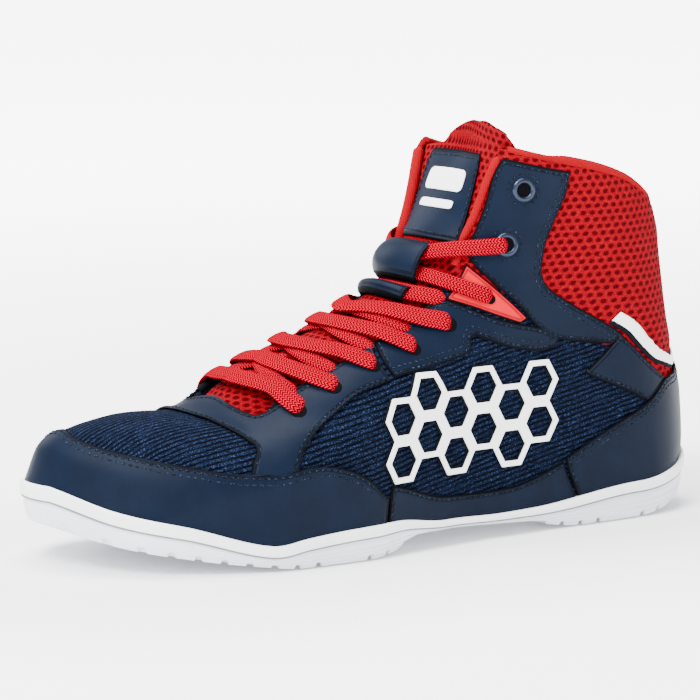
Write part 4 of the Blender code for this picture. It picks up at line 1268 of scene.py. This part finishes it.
def outer_edges(edges):
    """The longest closed run among boundary edges: the outside of the lattice."""
    left, best = dict.fromkeys(edges), []
    while left:
        run = [left.popitem()[0]]
        reach = list(run)
        while reach:
            edge = reach.pop()
            for vertex in edge.verts:
                for other in vertex.link_edges:
                    if other in left:
                        del left[other]
                        run.append(other)
                        reach.append(other)
        if len(run) > len(best):
            best = run
    return best


# Tongue

TONGUE_LOW = 0.226
TONGUE_MARGIN = 0.062
# Metres on the tongue for a step of 1 around, and for a step of 1 in rise
TONGUE_AROUND = 0.19
TONGUE_RISE = 0.14
# Place across the tongue from its inner side, rise of its top
TONGUE_RIM = [
    (-1.00, 0.985), (-0.55, 0.992), (-0.25, 1.022), (0.00, 1.034), (0.30, 1.040),
    (0.60, 1.054), (0.80, 1.045), (1.00, 1.000),
]
tongue_rim = Curve(TONGUE_RIM)
# Rise, how far the tongue's middle stands before its sides as a share of its crown
TONGUE_LEAN = [
    (0.246, 0.00), (0.290, 0.80), (0.350, 1.00), (0.520, 1.00), (0.580, 0.78), (0.650, 0.42),
    (0.720, 0.10), (0.800, -0.90), (0.900, -1.80), (1.000, -2.80), (1.100, -3.60),
]
tongue_lean = Curve(TONGUE_LEAN)


def tongue_out(rise, around):
    share = np.clip(np.abs(around) / throat_half(rise), 0, 1)
    crown = TONGUE_CROWN * (1 - share ** 2) * tongue_lean(rise)
    return crown - WALL - TONGUE_GAP


def tongue_way():
    """Rise, and the length of the way up the tongue's middle."""
    rise = np.linspace(0.2, 1.2, 400)
    path = on_surface(rise, 0.0)
    return rise, way_along(path)


TONGUE_AT, TONGUE_WAY = tongue_way()


def build_tongue():
    shape = unit_grid(60, 130)

    def ways(u, v):
        side = 2 * eased(u) - 1
        rise = TONGUE_LOW + (tongue_rim(side) - TONGUE_LOW) * eased(v)
        return rise, side * (throat_half(rise) + TONGUE_MARGIN), side

    def place(u, v):
        rise, around, side = ways(u, v)
        drop = 1.6 * MM * (1 - rounded_end(1 - np.abs(side), 0.10))
        drop = drop + 1.8 * MM * (1 - rounded_end(1 - v, 0.05))
        return skin(rise, around, tongue_out(rise, around) - drop)

    def mapped(u, v):
        rise, around, _ = ways(u, v)
        return around * TONGUE_AROUND, np.interp(rise, TONGUE_AT, TONGUE_WAY)

    lay(shape, place, mapped)
    face_outwards(shape)
    item = piece("tongue_pad", shape, ["mesh", "red_lining"], "tongue")
    thicken(item, TONGUE_THICKNESS, -1, material_offset=1, material_offset_rim=0)
    round_edges(item, 1.2 * MM, segments=3)


def on_tongue(rise, around, stand):
    return skin(rise, around, tongue_out(rise, around) + stand)


def tongue_sheet(name, area, arch, stand, thickness, grid, paint, nodes, corner=0.0):
    """A patch or a strap loop that follows the tongue between two rises."""
    low, high, half = area
    shape = unit_grid(*grid)
    flat = np.array([vertex.co[:2] for vertex in shape.verts])
    u, v = eased(flat[:, 0]), eased(flat[:, 1])
    rise = low + (high - low) * v
    narrow = 1 - corner * (np.abs(2 * v - 1) ** 6)
    around = (2 * u - 1) * half * narrow
    border = np.minimum(
        np.minimum(u, 1 - u) * 2 * half * TONGUE_AROUND,
        np.minimum(v, 1 - v) * (high - low) * TONGUE_RISE,
    )
    edge_drop = 0.5 * thickness * (1 - rounded_end(border, 0.6 * MM))
    out = stand + arch * np.sin(np.pi * v) ** 0.5 - edge_drop
    layer = shape.verts.layers.float.new("edge")
    points = on_tongue(rise, around, out)
    for vertex, point, distance in zip(shape.verts, points, border):
        vertex.co = point
        vertex[layer] = distance
    face_outwards(shape)
    item = piece(name, shape, paint, nodes)
    thicken(item, thickness, -1)
    round_edges(item, 0.3 * MM)
    return item


def build_tongue_trim():
    tongue_sheet("tongue_patch_cover", TONGUE_PATCH, 0.0, 1.1 * MM, 1.3 * MM, (40, 40),
                 "leather", "tongue_patch", corner=0.05)
    low, high, half = TONGUE_PATCH
    shape = bmesh.new()
    for rise, width in ((high - 0.017, half - 0.030), (low + 0.017, half - 0.026)):
        around = np.arange(-width, width, 0.0142)
        add_tongue_stitches(shape, np.full(around.shape, rise), around, 1.2 * MM)
    for side in (-1, 1):
        rise = np.arange(low + 0.024, high - 0.022, 0.0186)
        add_tongue_stitches(shape, rise, np.full(rise.shape, side * (half - 0.013)), 1.2 * MM)
    piece("tongue_patch_stitches", shape, "thread")
    for number, (low, high, half) in enumerate(((0.858, 0.918, 0.122), (0.808, 0.832, 0.104)), 1):
        tongue_sheet(f"tongue_patch_bar_{number}", (low, high, half), 0.0, 1.55 * MM, 0.5 * MM,
                     (30, 10), "film", (), corner=0.14)
    tongue_sheet("upper_keeper_band", UPPER_LOOP, 6.2 * MM, 1.6 * MM, 1.4 * MM, (30, 40),
                 "leather", "lace_keeper_upper")
    tongue_sheet("lower_keeper_band", LOWER_LOOP, 3.6 * MM, 1.6 * MM, 1.4 * MM, (30, 34),
                 "leather", "lace_keeper_lower")


def add_tongue_stitches(shape, rise, around, stand):
    points = on_tongue(rise, around, stand + 0 * rise)
    runs = unit(np.gradient(points, axis=0))
    normals = surface_normal(rise, around)
    for point, run, normal in zip(points, runs, normals):
        mesh_bead(shape, point, run, normal, STITCH_LENGTH, 0.6 * MM, 0.5 * MM)


# Laces

LACE_SIDES = 16
LACE_SQUARENESS = 0.55
LACE_DIVE = 2.6 * MM
LACE_LIFT = 2.4 * MM
ON_PANEL = 1.9 * MM
LACE_SEAT = 1.2 * MM
# Length of a rounded tip and its least width, as shares of the lace's width
TIP_REACH = 0.62
TIP_LEAST = 0.03


def powered(value, power):
    return np.sign(value) * np.abs(value) ** power


def ribbon(name, centre, count, nodes=(), width=LACE_WIDTH):
    """Flat lace along centre(t), which gives rise, around and how far out it lies."""
    t = np.linspace(0, 1, count)
    rise, around, out = centre(t)
    path = skin(rise, around, out)
    run = unit(np.gradient(path, axis=0))
    side = unit(np.cross(surface_normal(rise, around), run))
    up = np.cross(run, side)
    way = way_along(path)
    rounding = np.ones(count)
    for distance in (way, way[-1] - way):
        reach = np.clip(distance / (width * TIP_REACH), 0, 1)
        rounding = rounding * np.sqrt(np.maximum(1 - (1 - reach) ** 2, TIP_LEAST))
    shape = unit_grid(count - 1, LACE_SIDES)

    def place(u, v):
        i = nearest(u, count)
        angle = 2 * np.pi * v
        across_share = powered(np.cos(angle), LACE_SQUARENESS)
        height = powered(np.sin(angle), 0.8)
        crown = 0.35 * MM * (1 - across_share ** 2)
        return (
            path[i] + side[i] * (across_share * width / 2 * rounding[i])[:, None]
            + up[i] * (height * LACE_THICKNESS / 2 + crown)[:, None]
        )

    def mapped(u, v):
        i = nearest(u, count)
        return way[i], powered(np.cos(2 * np.pi * v), LACE_SQUARENESS) * width / 2

    lay(shape, place, mapped)
    close_ends(shape)
    return piece(name, shape, "lace", nodes)


def on_tongue_at(rise):
    return tongue_out(rise, 0.0) + LACE_SEAT


def lace_bar(rise, around, middle, shoulder):
    """Over the throat from the inner hole to the outer one, down into both."""
    line = Curve([(0.0, middle), (0.55, shoulder), (1.0, rise)])

    def centre(t):
        q = 2 * t - 1
        out = ON_PANEL + LACE_LIFT * (4 * t * (1 - t)) ** 1.3
        dive = np.clip((np.abs(q) - 0.94) / 0.06, 0, 1)
        return line(np.abs(q)), around * q, out - LACE_DIVE * dive ** 2
    return centre


def lace_run(start, end, outs, lift):
    """From one place to another, with lift at its middle."""
    def centre(t):
        rise = start[0] + (end[0] - start[0]) * t
        around = start[1] + (end[1] - start[1]) * t
        out = outs[0] + (outs[1] - outs[0]) * t + lift * 4 * t * (1 - t)
        return rise, around, out
    return centre


def lace_from_keeper(side, low, hole, bend, outs, climbed, last, dive):
    """From inside the upper keeper to a hole, up onto the panel and down into the hole."""
    def centre(t):
        rise = low + (hole[0] - low) * t ** bend
        around = side * (-0.03 + (hole[1] + 0.03) * t)
        out = outs[0] + (outs[1] - outs[0]) * ramp(t, 0.25, climbed)
        return rise, around, out - dive * np.clip((t - last) / (1 - last), 0, 1) ** 2
    return centre


def build_laces():
    for number, places in enumerate(LACE_HOLES, start=1):
        ribbon(f"lace_bar_{number}", lace_bar(*places), 90, f"lace_crossing_{number}")
    for number in range(1, len(LACE_HOLES)):
        low, high = LACE_HOLES[number - 1], LACE_HOLES[number]
        for side, word in SIDES:
            start = (high[2] + 0.012, -side * 0.050)
            end = ((low[0] + high[0]) / 2 + 0.006, side * throat_half(high[0]) * 1.08)
            ribbon(f"lace_under_{number}_{word}",
                   lace_run(start, end, (on_tongue_at(0.45) + 0.2 * side * MM, 0.2 * MM),
                            (0.8 + 0.3 * side) * MM), 40, width=LACE_WIDTH * 0.9)
    loop_low = (LOWER_LOOP[0] + LOWER_LOOP[1]) / 2
    loop_high = (UPPER_LOOP[0] + UPPER_LOOP[1]) / 2
    seat = on_tongue_at(loop_low)
    ribbon("lace_in_lower_keeper",
           lace_run((loop_low, -0.175), (loop_low + 0.010, 0.205), (seat, 0.2 * MM), 1.2 * MM),
           40, "lace_crossing_6", width=LACE_WIDTH * 0.9)
    deep = on_tongue_at(loop_high)
    for side, word in SIDES:
        to_insert = lace_from_keeper(side, loop_high - 0.022, INSERT_HOLE, 1.6,
                                     (deep + 0.2 * MM, ON_PANEL + 0.2 * MM), 0.80,
                                     0.93, 3.0 * MM)
        to_ring = lace_from_keeper(side, loop_high - 0.004, RING_HOLES[0], 1.2,
                                   (deep + 1.6 * MM, ON_PANEL + 1.5 * MM), 0.85,
                                   0.94, 3.4 * MM)
        ribbon(f"lace_to_insert_{word}", to_insert, 70, "lace_crossing_7" if side > 0 else (),
               width=LACE_WIDTH * 0.76)
        ribbon(f"lace_to_ring_{word}", to_ring, 70, width=LACE_WIDTH * 0.80)


# Eyelets and punched holes, with discs of painted shade in the holes

RING_STITCHES = 14
PUNCHED_RADIUS = 3.2 * MM
INSERT_HOLE_RADIUS = 1.9 * MM


def turned_ring(name, centre, normal, profile, paint, nodes=(), steps=32):
    """A ring spun round an axis from a closed profile of radius and height."""
    shape = bmesh.new()
    points = [shape.verts.new((radius, 0, height)) for radius, height in profile]
    edges = [shape.edges.new(pair) for pair in zip(points, points[1:] + points[:1])]
    bmesh.ops.spin(shape, geom=points + edges, axis=(0, 0, 1), cent=(0, 0, 0),
                   angle=2 * math.pi, steps=steps, use_merge=True)
    bmesh.ops.remove_doubles(shape, verts=shape.verts, dist=WELD)
    bmesh.ops.recalc_face_normals(shape, faces=shape.faces)
    turn = Vector(normal).to_track_quat("Z", "Y").to_matrix().to_4x4()
    bmesh.ops.transform(shape, matrix=Matrix.Translation(Vector(centre)) @ turn, verts=shape.verts)
    return piece(name, shape, paint, nodes)


def build_eyelets():
    rim, bore = EYELET_RADIUS, EYELET_BORE
    profile = [
        (bore, -1.2 * MM), (bore + 0.15 * MM, 0.2 * MM), (bore + 0.5 * MM, 0.75 * MM),
        (bore + 1.0 * MM, 0.95 * MM), (rim - 0.4 * MM, 0.72 * MM), (rim, 0.25 * MM),
        (rim - 0.1 * MM, 0.0), (bore + 0.6 * MM, -0.1 * MM), (bore + 0.5 * MM, -1.2 * MM),
    ]
    disc = [(0.02 * MM, -0.25 * MM), (bore + 0.2 * MM, -0.25 * MM), (bore + 0.2 * MM, -0.5 * MM),
            (0.02 * MM, -0.5 * MM)]
    base = PANEL_THICKNESS + 0.1 * MM
    for side, word in SIDES:
        for number, (rise, around) in enumerate(RING_HOLES, start=1):
            centre = skin(rise, side * around, base)
            normal = surface_normal(rise, side * around)
            turned_ring(f"ring_{word}_{number}", centre, normal, profile, "metal",
                        f"eyelet_{word}_{number}")
            # A dark disc in the eyelet's bore is painted shade.
            turned_ring(f"ring_hole_{word}_{number}", centre + normal * 0.35 * MM, normal, disc,
                        "black", steps=20)
            shape = bmesh.new()
            frame_x = unit(np.cross([0.0, 0.0, 1.0], normal))
            frame_y = np.cross(normal, frame_x)
            for i in range(RING_STITCHES):
                angle = 2 * math.pi * i / RING_STITCHES
                arm = frame_x * math.cos(angle) + frame_y * math.sin(angle)
                run = frame_y * math.cos(angle) - frame_x * math.sin(angle)
                mesh_bead(shape, centre + arm * (rim + 1.5 * MM), run, normal, 1.7 * MM,
                          0.55 * MM, 0.5 * MM)
            piece(f"ring_stitches_{word}_{number}", shape, "thread")
    places = [places[:2] for places in LACE_HOLES] + [INSERT_HOLE]
    for side, word in SIDES:
        for number, (rise, around) in enumerate(places, start=1):
            wide = PUNCHED_RADIUS if number <= len(LACE_HOLES) else INSERT_HOLE_RADIUS
            hole = [(0.02 * MM, 0.10 * MM), (wide - 0.2 * MM, 0.10 * MM), (wide, 0.0),
                    (wide, -0.4 * MM), (0.02 * MM, -0.4 * MM)]
            here = (rise - 0.004, side * (around - 0.002))
            stand = base + (0.25 * MM if number < 4 else 0.0)
            # Each punched hole is a dark disc of painted shade on the panel.
            turned_ring(f"punched_hole_{word}_{number}", skin(*here, stand),
                        surface_normal(*here), hole, "black", steps=20)


# Stage

# Middle and half length of the line that the floor's emission is measured from, and how far
# the shoe reaches beyond it. The emission is dimmed beside the shoe into a painted contact shadow.
GLOW_MIDDLE = 0.095
GLOW_HALF = 0.10
GLOW_REACH = 0.045
GLOW_NEAR = 0.16
GLOW_FAR = 1.6


def build_stage():
    shape = bmesh.new()
    bmesh.ops.create_grid(shape, x_segments=1, y_segments=1, size=6.0)
    bmesh.ops.translate(shape, verts=shape.verts, vec=(0, 0, -0.2 * MM))
    mesh = bpy.data.meshes.new("floor")
    shape.to_mesh(mesh)
    shape.free()
    paint = Paint("Pale floor", (0.92, 0.92, 0.93), 0.70, gloss=0.2)
    x, y, _ = paint.split(paint.place())
    beyond = ((x - GLOW_MIDDLE).size() - GLOW_HALF).most(0.0)
    away = (beyond ** 2 + y ** 2) ** 0.5 - GLOW_REACH
    # Painted shadow: the floor's emission is dimmed beside the shoe.
    glow_and_painted_shadow = away.step(0.0, GLOW_NEAR) * 0.19 + away.step(GLOW_NEAR, GLOW_FAR) * 0.78 + 0.03
    paint.set("Emission Color", paint.mix(glow_and_painted_shadow, (0.0, 0.0, 0.0), (1.0, 1.0, 1.0)))
    paint.set("Emission Strength", 6.5)
    mesh.materials.append(paint.material)
    floor = bpy.data.objects.new("floor", mesh)
    bpy.context.scene.collection.objects.link(floor)

    world = bpy.data.worlds.new("Studio")
    world.use_nodes = True
    background = world.node_tree.nodes["Background"]
    background.inputs["Color"].default_value = (0.96, 0.97, 1.0, 1.0)
    background.inputs["Strength"].default_value = 1.0
    bpy.context.scene.world = world
    lamps = [
        ("key", (1.3, 0.6, 1.5), 0.8, 80.0),
        ("fill", (-0.9, 1.3, 0.9), 1.4, 6.0),
        ("top", (0.2, -0.2, 1.9), 1.2, 84.0),
        ("rim", (0.5, -1.5, 0.9), 0.9, 14.0),
    ]
    target = Vector((0.09, 0, 0.05))
    for name, place, size, power in lamps:
        lamp = bpy.data.lights.new(name, "AREA")
        lamp.shape = "SQUARE"
        lamp.size = size
        lamp.energy = power
        item = bpy.data.objects.new(name, lamp)
        item.location = place
        item.rotation_mode = "QUATERNION"
        item.rotation_quaternion = (target - Vector(place)).to_track_quat("-Z", "Y")
        bpy.context.scene.collection.objects.link(item)


def build_camera():
    """The photograph's view: 34 degrees off the side towards the toe, 8 degrees up."""
    off, high, distance = math.radians(34), math.radians(8.2), 1.4
    back = Vector((math.sin(off) * math.cos(high), math.cos(off) * math.cos(high), math.sin(high)))
    target = Vector((0.100, 0.0, 0.070))
    data = bpy.data.cameras.new("camera")
    data.sensor_width = 36
    data.lens = 3640 / 700 * 36
    data.shift_x = -14 / 700
    data.shift_y = 4 / 700
    camera = bpy.data.objects.new("camera", data)
    camera.location = target + back * distance
    camera.rotation_mode = "QUATERNION"
    camera.rotation_quaternion = (-back).to_track_quat("-Z", "Y")
    bpy.context.scene.collection.objects.link(camera)
    bpy.context.scene.camera = camera


build_camera()
build_stage()
build_upper()
build_bindings()
build_midsole()
build_outsole()
build_sole_seam()
build_insole()
build_panels()
for side, word in SIDES:
    build_lattice(f"side_lattice_{word}_edging", side, CELL_STRUT + 1.6 * MM, 0.15 * MM,
                  0.45 * MM, "edging")
    build_lattice(f"side_lattice_{word}_film", side, CELL_STRUT, 0.45 * MM, LATTICE_THICKNESS,
                  "film", f"side_lattice_{word}")
build_tongue()
build_tongue_trim()
build_laces()
build_eyelets()
